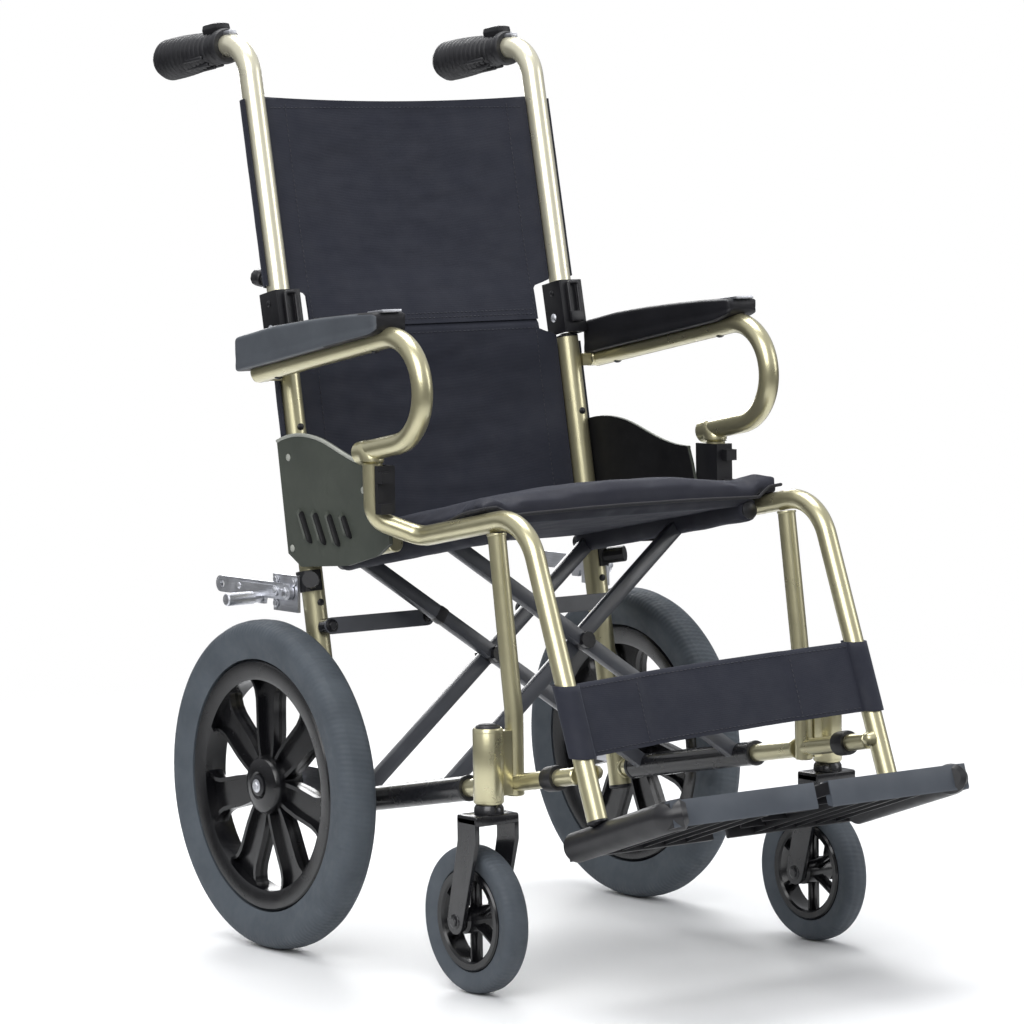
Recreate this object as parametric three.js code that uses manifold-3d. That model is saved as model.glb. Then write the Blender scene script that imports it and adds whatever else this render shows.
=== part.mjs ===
// A folding, attendant-propelled transport wheelchair.
// Units are millimetres, +Z is up, -Y is the way the chair faces and +X is the
// occupant's left. The origin is on the floor, below the middle of the chair.
// "right" and "left" in the names are the occupant's.

import * as THREE from 'three';
import { mergeVertices } from 'three/addons/utils/BufferGeometryUtils.js';
import Module from 'manifold-3d';

const wasm = await Module();
wasm.setup();

// ---------------------------------------------------------------- dimensions
const PITCH = THREE.MathUtils.degToRad(10); // the frame leans back by this much
const SLOPE = Math.tan(PITCH);
const GAP = 0.3; // left between pieces that touch

const FRAME_X = 191; // centre plane of a side frame
const ARM_X = 229; // centre plane of an armrest
const RAIL_R = 10.5; // seat rail, hanger and arm upright
const POST_R = 12.5;
const LEG_R = 9.5;
const LOWER_R = 9.5;
const CANE_R = 12.4;
const ARM_R = 11;

const LOWER_Z0 = 180; // lower rail's height where it crosses y = 0
const RAIL_Z0 = 448.3; // seat rail's height where it crosses y = 0
const POST_Y0 = 101; // where the rear post's line meets the floor
const POST_TOP = 644;
const POST_BOTTOM = 138;

const WHEEL_R = 178; // 14 inch rear wheel
const WHEEL_X = 246;
const WHEEL_Y = 172.5;
const TYRE_WIDTH = 44;
const RIM_R = 136;
const AXLE_R = 7;
const LOCK_Y = 182; // wheel lock's pivot
const LOCK_Z = 383;

const CASTER_R = 76; // 6 inch caster
const CASTER_RIM_R = 53;
const CASTER_TYRE_WIDTH = 29;
const CASTER_X = 224;
const STEM_Y = -196;
const STEM_R = 8;
const CASTER_Y = STEM_Y + 25; // the axle trails the stem
const HOUSING_TOP = 274;
const HOUSING_BOTTOM = 197;

const BRACE_BOTTOM_X = FRAME_X; // cross brace hinges on the lower rail
const BRACE_TOP_X = 160; // seat tubes
const BRACE_H = 258; // seat tube above lower rail, square to the rails
const SEAT_TUBE_R = 9.5;
const PIVOT_H = (BRACE_H * BRACE_BOTTOM_X) / (BRACE_BOTTOM_X + BRACE_TOP_X);
const BRACE_S = [-85, 79]; // the two crossings, measured forward along the rails
const BAR_T = 12; // thickness of a brace bar along the rails
const BAR_W = 17;
const LINK_H = 189; // height of the stay links above the lower rail
const LINK_LENGTH = 125;

const HINGE_Y = 218; // backrest hinge
const HINGE_Z = 665;
const CANE_LEAN = 0.2; // run over rise of the push canes
const HANDLE_Z = 974;
const GRIP_START = 318;
const GRIP_LENGTH = 132;

const ARM_Z0 = 656.5; // armrest tube's height where it crosses y = 0
const ARM_LOOP_R = 55;
const ARM_LOOP_Y = -43;
const ARM_PIVOT_Y = 210;
const ARM_END_Y = 16;
const UPRIGHT_Y = -5; // the upright it drops onto
const UPRIGHT_TOP = 532.5;

const HANGER_LEAN = 0.38; // hanger's run over its drop
const HANGER_END_Z = 191;
const PLATE_TILT = THREE.MathUtils.degToRad(18);
const PLATE_Y = -363.5; // middle of a footplate's top face
const PLATE_Z = 197;
const PLATE_OUTER_X = 191.5;
const PLATE_INNER_X = 9;
const PLATE_DEPTH = 178;
const PLATE_T = 26;

const SEAT_REAR = 114; // measured rearward along the rails
const SEAT_FRONT = -206;
const SEAT_HALF = 176;
const BACK_HALF = 175;
const STRAP_HALF = 179;

// ------------------------------------------------------------ frame's lines
const railZ = (y) => RAIL_Z0 - SLOPE * y;
const lowerZ = (y) => LOWER_Z0 - SLOPE * y;
const postY = (z) => POST_Y0 + SLOPE * z;
const hangerY = (z) => -252 + HANGER_LEAN * (z - 405);
const caneY = (z) => HINGE_Y + CANE_LEAN * (z - HINGE_Z);
const armZ = (y) => ARM_Z0 - SLOPE * y;
const at = (x, y, z) => new THREE.Vector3(x, y, z);

// ---------------------------------------------------------------- materials
const material = (color, roughness, metalness) =>
  new THREE.MeshStandardMaterial({ color, roughness, metalness });
const champagne = material(0xc9c09c, 0.32, 0.8);
const blackPaint = material(0x1b1b1f, 0.4, 0.3);
const silver = material(0xb9bcc2, 0.35, 0.9);
const steel = material(0x8d9095, 0.3, 0.9);
const rimPlastic = material(0x121214, 0.45, 0);
const blackPlastic = material(0x17171a, 0.5, 0);
const guardPlastic = material(0x4a4f4a, 0.6, 0);
const tyreRubber = material(0x5d666e, 0.8, 0);
const gripRubber = material(0x202126, 0.7, 0);
const padFoam = material(0x2c2d33, 0.6, 0);
const nylon = material(0x2c2e37, 0.85, 0);

// ------------------------------------------------------------ shape helpers

// A path through straight runs and round bends. Each corner but the first and
// last is rounded by its own radius, and rings are placed only where it turns.
class BentPath extends THREE.Curve {
  constructor(corners, radii, degreesPerStep = 18) {
    super();
    this.stations = [];
    const add = (point, tangent) => this.stations.push({ point, tangent });
    const count = corners.length;
    const heading = (i) => corners[i + 1].clone().sub(corners[i]).normalize();
    add(corners[0], heading(0));
    for (let i = 1; i < count - 1; i += 1) {
      const before = heading(i - 1);
      const after = heading(i);
      const turn = before.angleTo(after);
      const radius = Array.isArray(radii) ? radii[i - 1] : radii;
      const setback = radius * Math.tan(turn / 2);
      const start = corners[i].clone().addScaledVector(before, -setback);
      const inward = after.clone().addScaledVector(before, -Math.cos(turn)).normalize();
      const centre = start.clone().addScaledVector(inward, radius);
      const steps = Math.max(2, Math.ceil(THREE.MathUtils.radToDeg(turn) / degreesPerStep));
      for (let k = 0; k <= steps; k += 1) {
        const a = (turn * k) / steps;
        const point = centre
          .clone()
          .addScaledVector(inward, -radius * Math.cos(a))
          .addScaledVector(before, radius * Math.sin(a));
        const tangent = before
          .clone()
          .multiplyScalar(Math.cos(a))
          .addScaledVector(inward, Math.sin(a));
        add(point, tangent);
      }
    }
    add(corners[count - 1], heading(count - 2));
  }

  get steps() {
    return this.stations.length - 1;
  }

  getPoint(t) {
    return this.stations[Math.round(t * this.steps)].point.clone();
  }

  getTangent(t) {
    return this.stations[Math.round(t * this.steps)].tangent.clone();
  }

  getPointAt(u) {
    return this.getPoint(u);
  }

  getTangentAt(u) {
    return this.getTangent(u);
  }
}

function circle(radius) {
  return new THREE.Shape().absarc(0, 0, radius, 0, 2 * Math.PI);
}

function tube(corners, radii, radius, sides = 12) {
  const extrudePath = new BentPath(corners, radii);
  const options = { extrudePath, steps: extrudePath.steps, curveSegments: sides / 2 };
  return new THREE.ExtrudeGeometry(circle(radius), options);
}

// A straight round bar between two points.
const rod = (from, to, radius, sides = 12) => tube([from, to], 0, radius, sides);

// A round bar along X.
function rodX(x0, x1, y, z, radius, sides = 12) {
  return rod(at(x0, y, z), at(x1, y, z), radius, sides);
}

function box(low, high) {
  const size = high.clone().sub(low);
  const middle = low.clone().add(high).multiplyScalar(0.5);
  return new THREE.BoxGeometry(size.x, size.y, size.z).translate(...middle);
}

// The box between x0 and x1 on one side of the chair, whichever side that is.
function sideBox(side, x0, x1, y0, y1, z0, z1) {
  const low = Math.min(side * x0, side * x1);
  const high = Math.max(side * x0, side * x1);
  return box(at(low, y0, z0), at(high, y1, z1));
}

// A profile of [radius, x] points turned about the X axis.
function latheX(profile, segments) {
  const points = profile.map(([r, x]) => new THREE.Vector2(r, x));
  return outward(new THREE.LatheGeometry(points, segments).rotateZ(-Math.PI / 2));
}

// A flat shape drawn in Y and Z, given its thickness along X.
function plateYZ(shape, x0, x1) {
  const depth = Math.abs(x1 - x0);
  const options = { depth, bevelEnabled: false, curveSegments: 6 };
  const flat = new THREE.ExtrudeGeometry(shape, options);
  const upright = new THREE.Matrix4().makeBasis(at(0, 1, 0), at(0, 0, 1), at(1, 0, 0));
  return flat.applyMatrix4(upright).translate(Math.min(x0, x1), 0, 0);
}

function welded(geometry) {
  const bare = geometry.clone();
  bare.deleteAttribute('normal');
  bare.deleteAttribute('uv');
  return mergeVertices(bare, 1e-4);
}

// Turns a closed geometry's faces outwards when its enclosed volume is negative.
function outward(geometry) {
  const bare = welded(geometry);
  const position = bare.attributes.position;
  const index = bare.index.array;
  const corner = (i) => new THREE.Vector3().fromBufferAttribute(position, index[i]);
  let volume = 0;
  for (let i = 0; i < index.length; i += 3) {
    volume += corner(i).dot(corner(i + 1).cross(corner(i + 2)));
  }
  if (volume < 0) {
    for (let i = 0; i < index.length; i += 3) {
      [index[i + 1], index[i + 2]] = [index[i + 2], index[i + 1]];
    }
  }
  return bare;
}

function solid(geometry) {
  const bare = outward(geometry);
  const vertProperties = Float32Array.from(bare.attributes.position.array);
  const triVerts = Uint32Array.from(bare.index.array);
  return new wasm.Manifold(new wasm.Mesh({ numProp: 3, vertProperties, triVerts }));
}

function geometryOf(manifold) {
  const mesh = manifold.getMesh();
  const geometry = new THREE.BufferGeometry();
  geometry.setAttribute('position', new THREE.BufferAttribute(mesh.vertProperties, 3));
  geometry.setIndex(new THREE.BufferAttribute(mesh.triVerts, 1));
  geometry.computeVertexNormals();
  return geometry;
}

// One body made of several, less whatever is cut from it.
function built(add, cut = []) {
  const whole = add.map(solid).reduce((a, b) => a.add(b));
  return geometryOf(cut.map(solid).reduce((a, b) => a.subtract(b), whole));
}

const chair = new THREE.Group();

// Pieces drawn square to the rails sit in this group. In it y runs rearward
// along the rails and z is the height above the lower rail.
const railGroup = new THREE.Group();
railGroup.rotation.x = -PITCH;
railGroup.position.set(0, 0, LOWER_Z0);
chair.add(railGroup);

function addPart(name, geometry, finish, group = chair) {
  const mesh = new THREE.Mesh(outward(geometry), finish);
  mesh.geometry.computeVertexNormals();
  mesh.name = name;
  group.add(mesh);
}

// ---------------------------------------------------------------- side frame

function rearPost(x) {
  const [foot, top] = [POST_BOTTOM, POST_TOP].map((z) => at(x, postY(z), z));
  return rod(foot, top, POST_R);
}

// One tube: arm upright, seat rail and footrest hanger.
function sideTube(x, armX) {
  const cornerY = -221;
  const corners = [
    at(armX, UPRIGHT_Y, UPRIGHT_TOP),
    at(armX, UPRIGHT_Y - 2, 474),
    at(x, -38, railZ(-38)),
    at(x, cornerY, railZ(cornerY)),
    at(x, hangerY(HANGER_END_Z), HANGER_END_Z),
  ];
  return tube(corners, [22, 26, 55], RAIL_R);
}

function rearRail(x) {
  const front = 10;
  const rear = postY(railZ(160)) - POST_R - GAP - 1;
  return rod(at(x, rear, railZ(rear)), at(x, front, railZ(front)), RAIL_R);
}

function lowerRail(x) {
  const front = STEM_Y + LEG_R + GAP + 2;
  const rear = postY(lowerZ(120)) - POST_R - GAP - 2;
  return rod(at(x, rear, lowerZ(rear)), at(x, front, lowerZ(front)), LOWER_R);
}

// Front leg with the short stay that runs forward from it to the hanger.
function frontLeg(x) {
  const top = at(x, -171, railZ(-171) - RAIL_R - 2.5);
  const leg = tube([top, at(x, STEM_Y, 285), at(x, STEM_Y, 202)], 60, LEG_R);
  const stayEnd = hangerY(lowerZ(-316)) + RAIL_R + GAP + 4;
  const stayFoot = at(x, STEM_Y, lowerZ(STEM_Y));
  const stay = rod(stayFoot, at(x, stayEnd, lowerZ(stayEnd)), LEG_R - 0.5);
  return built([leg, stay]);
}

// Caster bearing housing with the web that joins it to the front leg.
function casterHousing(side) {
  const x = side * CASTER_X;
  const barrel = rod(at(x, STEM_Y, HOUSING_BOTTOM), at(x, STEM_Y, HOUSING_TOP), 15.5, 16);
  const web = sideBox(side, FRAME_X, CASTER_X, STEM_Y - 8, STEM_Y + 8, 204, 270);
  const bore = rod(at(x, STEM_Y, HOUSING_BOTTOM - 1), at(x, STEM_Y, 264), STEM_R + 0.5, 16);
  const legX = side * FRAME_X;
  const legSpace = rod(at(legX, STEM_Y, 190), at(legX, STEM_Y, 290), LEG_R + 0.8);
  const ahead = STEM_Y - 30;
  const stayFoot = at(legX, STEM_Y, lowerZ(STEM_Y));
  const staySpace = rod(stayFoot, at(legX, ahead, lowerZ(ahead)), LEG_R + 0.5);
  const inboard = sideBox(side, FRAME_X - 20, FRAME_X, STEM_Y - 20, STEM_Y + 20, 190, 290);
  return built([barrel, web], [bore, legSpace, staySpace, inboard]);
}

function sideGuard(side) {
  const outline = new THREE.Shape();
  outline.moveTo(190, 424);
  outline.lineTo(209, 546);
  outline.quadraticCurveTo(170, 561, 123, 551);
  outline.bezierCurveTo(90, 543, 60, 527, 14, 527);
  outline.lineTo(2, 490);
  outline.lineTo(-4, 446);
  outline.lineTo(20, 432);
  outline.lineTo(76, 418);
  outline.lineTo(165, 411);
  const x = FRAME_X + POST_R + 0.7;
  return plateYZ(outline, side * x, side * (x + 4));
}

// Latch clipped on the arm upright: an inner plate, a front web and a lug at each end.
function armLatch(side) {
  const x0 = ARM_X - ARM_R - 3.5;
  const x1 = ARM_X + 7;
  return built([
    sideBox(side, x0, x0 + 3, -25, 12, 484, 530),
    sideBox(side, x0, x1, -25, -19.6, 480, 530),
    sideBox(side, ARM_X - 7, x1, -33, -22, 512, 524),
    sideBox(side, ARM_X - 7, x1, -31, -22, 480, 491),
  ]);
}

// Where the armrest pivots on the rear post.
function armBracket(side) {
  const y = ARM_PIVOT_Y;
  const z = armZ(y);
  const inner = FRAME_X + POST_R + 0.5;
  const outer = ARM_X - ARM_R - 2.5;
  return sideBox(side, inner, outer, y - 8, y + 8, z - 9, z + 5);
}

// Takes shapes drawn upright about the backrest hinge to the cane's own lean.
function leaned() {
  const turn = new THREE.Matrix4().makeRotationX(-Math.atan(CANE_LEAN));
  return turn.setPosition(0, HINGE_Y, HINGE_Z);
}

// Two cheeks and a front web that hold the foot of the push cane.
function backHinge(side) {
  const inner = CANE_R + 0.6;
  const outer = inner + 2.4;
  const x = side * FRAME_X;
  const cheek = (a, b) => box(at(x + a, -19, -18), at(x + b, 14, 40));
  const web = box(at(x - outer, -19, -18), at(x + outer, -15, 40));
  return built([cheek(-outer, -inner), cheek(inner, outer), web]).applyMatrix4(leaned());
}

// Sprung loop that releases the backrest hinge.
function backLatch(side) {
  const x = side * FRAME_X;
  const loop = box(at(x - 9, -25, -8), at(x + 9, -20, 40));
  const slot = box(at(x - 4, -30, 6), at(x + 4, -15, 34));
  return built([loop], [slot]).applyMatrix4(leaned());
}

// Black clamp round the rear post, with a forward boss under the seat rail.
function postClamp(side) {
  const x = side * FRAME_X;
  const z = 394;
  const y = postY(z);
  const along = (dz) => at(x, postY(z + dz), z + dz);
  const ring = rod(along(-11), along(11), POST_R + 4, 12);
  const boss = rod(at(x, y, z), at(x + side * 22, y - 30, z + 30 * SLOPE), 9, 12);
  const inner = sideBox(side, FRAME_X - 30, FRAME_X - 2, y - 30, y + 30, z - 30, z + 30);
  return built([ring, boss], [rod(along(-60), along(60), POST_R + GAP + 0.15), inner]);
}

function axleBracket(side) {
  const x = FRAME_X + POST_R + 0.5;
  const front = postY(WHEEL_R) - 13;
  const plate = sideBox(side, x, x + 6, front, WHEEL_Y + 14, WHEEL_R - 18, WHEEL_R + 18);
  const axle = rodX(side * (x + 1), side * (WHEEL_X + 12), WHEEL_Y, WHEEL_R, AXLE_R);
  return built([plate, axle]);
}

// Plate on the post clamp that carries the wheel lock's pivot pin.
function lockBracket(side) {
  const x = FRAME_X + POST_R + 4.6;
  const plate = sideBox(side, x, x + 3.5, LOCK_Y - 14, LOCK_Y + 34, LOCK_Z - 22, LOCK_Z + 18);
  const pin = rodX(side * (x + 1), side * (x + 17), LOCK_Y, LOCK_Z, 4, 10);
  return built([plate, pin]);
}

// ------------------------------------------------------------- moving pieces

// Lever with a cross bar that swings down onto the rear tyre.
function lockLever(side) {
  const x = FRAME_X + POST_R + 9;
  const half = 9;
  const tip = LOCK_Y + 134;
  const barY = LOCK_Y + 52;
  const outline = new THREE.Shape();
  outline.moveTo(tip, LOCK_Z - half);
  outline.absarc(tip, LOCK_Z, half, -Math.PI / 2, Math.PI / 2, false);
  outline.lineTo(LOCK_Y, LOCK_Z + half);
  outline.absarc(LOCK_Y, LOCK_Z, half, Math.PI / 2, Math.PI * 1.5, false);
  outline.lineTo(barY - 8, LOCK_Z - half);
  outline.lineTo(barY - 6, LOCK_Z - half - 7);
  outline.lineTo(barY + 6, LOCK_Z - half - 7);
  outline.lineTo(barY + 8, LOCK_Z - half);
  outline.holes.push(new THREE.Path().absarc(LOCK_Y, LOCK_Z, 4.6, 0, 2 * Math.PI));
  outline.holes.push(new THREE.Path().absarc(tip - 4, LOCK_Z, 4, 0, 2 * Math.PI));
  const lever = plateYZ(outline, side * x, side * (x + 4));
  const bar = rodX(side * (x + 2), side * (WHEEL_X + 14), barY, LOCK_Z - half, 6, 10);
  return built([lever, bar]);
}

// Closed ring of [radius, x] points, oval in section, between two radii.
function tyreProfile(inner, outer, width, sides) {
  const middle = (inner + outer) / 2;
  const profile = [];
  for (let i = 0; i < sides; i += 1) {
    const a = (2 * Math.PI * i) / sides;
    profile.push([middle + (outer - middle) * Math.cos(a), (width / 2) * Math.sin(a)]);
  }
  return [...profile, profile[0]];
}

function rearTyre(side) {
  const profile = tyreProfile(RIM_R, WHEEL_R, TYRE_WIDTH, 12);
  return latheX(profile, 40).translate(side * WHEEL_X, WHEEL_Y, WHEEL_R);
}

const band = (inner, outer, half) => [
  [inner, -half], [outer, -half], [outer, half], [inner, half], [inner, -half],
];

// Ring, broad spokes and hub of the rear wheel. One spoke points rearward.
function rearRim(side) {
  const spokes = 7;
  const ringIn = 114;
  const ringOut = RIM_R - GAP;
  const ring = latheX(band(ringIn, ringOut, 15), 40);
  const hub = latheX([[0, -24], [32, -24], [32, 16], [24, 20], [0, 20]], 20);
  // Half the width of a spoke at each distance from the axle.
  const edge = [[20, 11], [60, 17], [94, 17], [ringIn + 6, 25]];
  const outline = [...edge, ...edge.map(([r, half]) => [r, -half]).reverse()];
  const shape = new THREE.Shape(outline.map(([r, z]) => new THREE.Vector2(r, z)));
  const arms = [];
  for (let i = 0; i < spokes; i += 1) {
    arms.push(plateYZ(shape, -8, 6).rotateX((2 * Math.PI * i) / spokes));
  }
  const bore = rodX(-40, 14, 0, 0, AXLE_R + 0.5, 14);
  const wheel = built([ring, hub, ...arms], [bore]);
  if (side < 0) wheel.rotateY(Math.PI);
  return wheel.translate(side * WHEEL_X, WHEEL_Y, WHEEL_R);
}

function casterFork(side) {
  const x = side * CASTER_X;
  const stem = rod(at(x, STEM_Y, 184), at(x, STEM_Y, 258), STEM_R);
  const crown = box(at(x - 27, STEM_Y - 15, 177), at(x + 27, STEM_Y + 19, 187));
  const legs = [-1, 1].map((s) => {
    const shape = new THREE.Shape();
    shape.moveTo(STEM_Y - 13, 182);
    shape.lineTo(STEM_Y + 17, 182);
    shape.lineTo(CASTER_Y + 11, CASTER_R);
    shape.absarc(CASTER_Y, CASTER_R, 11, 0, -Math.PI, true);
    return plateYZ(shape, x + s * 22, x + s * 27);
  });
  const axle = rodX(x - 24, x + 24, CASTER_Y, CASTER_R, 5, 10);
  return built([stem, crown, axle, ...legs]);
}

function casterTyre(side) {
  const profile = tyreProfile(CASTER_RIM_R, CASTER_R, CASTER_TYRE_WIDTH, 10);
  return latheX(profile, 32).translate(side * CASTER_X, CASTER_Y, CASTER_R);
}

function casterRim(side) {
  const ringOut = CASTER_RIM_R - GAP;
  const ring = latheX(band(43, ringOut, 11), 32);
  const hub = latheX([[0, -19], [14, -19], [14, 19], [0, 19]], 16);
  const arms = [];
  for (let i = 0; i < 6; i += 1) {
    arms.push(box(at(-5, 8, -5), at(5, 46, 5)).rotateX((Math.PI * i) / 3));
  }
  const rim = built([ring, hub, ...arms], [rodX(-30, 30, 0, 0, 5.5, 12)]);
  return rim.translate(side * CASTER_X, CASTER_Y, CASTER_R);
}

// Armrest tube: from the pivot forward, round the loop and down to the upright.
function armTube(side) {
  const x = side * ARM_X;
  const drop = 2 * ARM_LOOP_R;
  const front = ARM_LOOP_Y + ARM_LOOP_R * (Math.sin(PITCH) - Math.cos(PITCH));
  const corners = [
    at(x, ARM_PIVOT_Y, armZ(ARM_PIVOT_Y)),
    at(x, front, armZ(front)),
    at(x, front - drop * Math.sin(PITCH), armZ(front) - drop * Math.cos(PITCH)),
    at(x, ARM_END_Y, armZ(ARM_END_Y) - drop / Math.cos(PITCH)),
  ];
  const pivotX = side * (ARM_X - ARM_R - 1.5);
  const pivot = rodX(pivotX, x, ARM_PIVOT_Y, armZ(ARM_PIVOT_Y), 10);
  const foot = UPRIGHT_TOP + GAP + 0.4;
  const socket = rod(at(x, UPRIGHT_Y, foot), at(x, UPRIGHT_Y, foot + 15), 12.5);
  return built([tube(corners, ARM_LOOP_R - 0.5, ARM_R), pivot, socket]);
}

function armPad(side) {
  const shape = new THREE.Shape();
  const under = (y) => armZ(y) + ARM_R + 0.8;
  shape.moveTo(227, under(227));
  shape.lineTo(-34, under(-34));
  shape.lineTo(-52, under(-34) + 5);
  shape.quadraticCurveTo(-58, 690, -44, 692);
  shape.quadraticCurveTo(60, 690, 150, 674);
  shape.lineTo(214, 662);
  shape.quadraticCurveTo(230, 658, 229, 645);
  const x = side * ARM_X;
  return plateYZ(shape, x - 21.5, x + 21.5);
}

function pushCane(side) {
  const x = side * FRAME_X;
  const foot = HINGE_Z - 7;
  const rise = HANDLE_Z + 4;
  const corners = [
    at(x, caneY(foot), foot),
    at(x, caneY(rise), rise),
    at(x, GRIP_START + 70, HANDLE_Z - 7),
  ];
  return tube(corners, 42, CANE_R);
}

// Hollow hand grip, fatter at its rear end, slipped over the end of the cane.
function grip(side) {
  const bore = CANE_R + 0.5;
  const profile = [
    [bore, 0], [18, 0], [18.5, 6], [17, 14], [18.5, 40], [22, 84], [23, 112], [20.5, 126],
    [12, GRIP_LENGTH], [0, GRIP_LENGTH], [0, 90], [bore, 90], [bore, 0],
  ];
  const body = latheX(profile, 16).rotateZ(Math.PI / 2);
  const droop = Math.atan2(11, 70 + GRIP_START - caneY(HANDLE_Z));
  return body.rotateX(-droop).translate(side * FRAME_X, GRIP_START, gripZ());
}

// Height of the cane's centre line where the grip begins.
function gripZ() {
  const start = at(0, caneY(HANDLE_Z + 4), HANDLE_Z + 4);
  const end = at(0, GRIP_START + 70, HANDLE_Z - 7);
  return start.z + ((end.z - start.z) * (GRIP_START - start.y)) / (end.y - start.y);
}

// Folding footplate, hinged along its outer edge below the hanger.
function footplate(side) {
  const rim = 5;
  const half = PLATE_DEPTH / 2;
  const section = [
    [PLATE_INNER_X, 0],
    [PLATE_OUTER_X, 0],
    [PLATE_OUTER_X, -PLATE_T],
    [PLATE_INNER_X + PLATE_T / 2, -PLATE_T],
    [PLATE_INNER_X, -PLATE_T / 2],
  ];
  const outline = new THREE.Shape(section.map(([x, z]) => new THREE.Vector2(side * x, z)));
  const options = { depth: PLATE_DEPTH, bevelEnabled: false };
  const slab = new THREE.ExtrudeGeometry(outline, options).rotateX(Math.PI / 2);
  const innerX = PLATE_INNER_X + rim;
  const outerX = PLATE_OUTER_X - rim;
  const pocket = sideBox(side, innerX, outerX, rim - half, half - rim, -PLATE_T - 1, -8);
  const ribs = [0.25, 0.5, 0.75].map((share) => {
    const x = PLATE_INNER_X + share * (PLATE_OUTER_X - PLATE_INNER_X);
    return sideBox(side, x - 2, x + 2, 1 - half, half - 1, -PLATE_T + 5, -4);
  });
  const tray = built([slab.translate(0, half, 0)], [pocket]);
  const place = new THREE.Matrix4().makeRotationX(-PLATE_TILT).setPosition(0, PLATE_Y, PLATE_Z);
  return built([tray, ...ribs]).applyMatrix4(place);
}

// ----------------------------------------------------------- folding brace

// Everything here is drawn in railGroup, where the forward distance along the
// rails is -y and the height above the lower rail is z.
function crossBrace(side) {
  const foot = at(side * BRACE_BOTTOM_X, 0, 0);
  const head = at(-side * BRACE_TOP_X, 0, BRACE_H);
  const sleeve = rod(at(foot.x, -118, 0), at(foot.x, 100, 0), 13);
  const seatTube = rod(at(head.x, -195, BRACE_H), at(head.x, 112, BRACE_H), SEAT_TUBE_R);
  const length = foot.distanceTo(head);
  const angle = Math.atan2(head.z - foot.z, head.x - foot.x);
  const bars = BRACE_S.map((s) => {
    const y = -s - side * (BAR_T / 2 + 1);
    const bar = box(at(0, -BAR_T / 2, -BAR_W / 2), at(length, BAR_T / 2, BAR_W / 2));
    return bar.rotateY(-angle).translate(foot.x, y, 0);
  });
  const railBore = rod(at(foot.x, -140, 0), at(foot.x, 140, 0), LOWER_R + 0.9);
  const pivotBores = BRACE_S.map((s) => pivotRod(s, 40, 5.6));
  return built([sleeve, seatTube, ...bars], [railBore, ...pivotBores]);
}

function pivotRod(s, half, radius, sides = 12) {
  return rod(at(0, -s - half, PIVOT_H), at(0, -s + half, PIVOT_H), radius, sides);
}

// Bolt through both bars, with a head in front and a nut behind.
function pivotBolt(s) {
  const face = BAR_T + 1 + 0.4;
  const head = pivotRod(s + face + 2.5, 2.5, 9);
  const nut = pivotRod(s - face - 2.5, 2.5, 9, 6);
  return built([pivotRod(s, face + 3, 5), head, nut]);
}

// Flat stay from the rear post to the rear crossing.
function stayLink(side) {
  const x = side * FRAME_X;
  const tip = side * (FRAME_X - LINK_LENGTH);
  const y0 = 102;
  const y1 = 108;
  const bar = sideBox(side, FRAME_X, FRAME_X - LINK_LENGTH, y0, y1, LINK_H - 8, LINK_H + 8);
  const boss = rod(at(x, y0, LINK_H), at(x, 117, LINK_H), 9);
  const eye = rod(at(tip, y0, LINK_H), at(tip, y1, LINK_H), 9);
  return built([bar, boss, eye]);
}

// -------------------------------------------------------------- soft pieces

// Padded seat, drawn in railGroup on top of the seat tubes.
function seat() {
  const shape = new THREE.Shape();
  const under = BRACE_H + SEAT_TUBE_R + 1.5;
  shape.moveTo(-SEAT_HALF, under);
  shape.lineTo(SEAT_HALF, under);
  shape.lineTo(SEAT_HALF, under + 19);
  shape.quadraticCurveTo(0, under + 39, -SEAT_HALF, under + 19);
  const depth = SEAT_REAR - SEAT_FRONT;
  const slab = new THREE.ExtrudeGeometry(shape, { depth, bevelEnabled: false, curveSegments: 8 });
  return slab.rotateX(Math.PI / 2).translate(0, SEAT_REAR, 0);
}

// A sheet between two heights that lies just behind a leaning line.
function leaningPanel(lineY, halfWidth, z0, z1, behind, thickness) {
  const shape = new THREE.Shape();
  shape.moveTo(lineY(z0) + behind, z0);
  shape.lineTo(lineY(z1) + behind, z1);
  shape.lineTo(lineY(z1) + behind + thickness, z1);
  shape.lineTo(lineY(z0) + behind + thickness, z0);
  return plateYZ(shape, -halfWidth, halfWidth);
}

// ------------------------------------------------------------------ assembly

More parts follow.
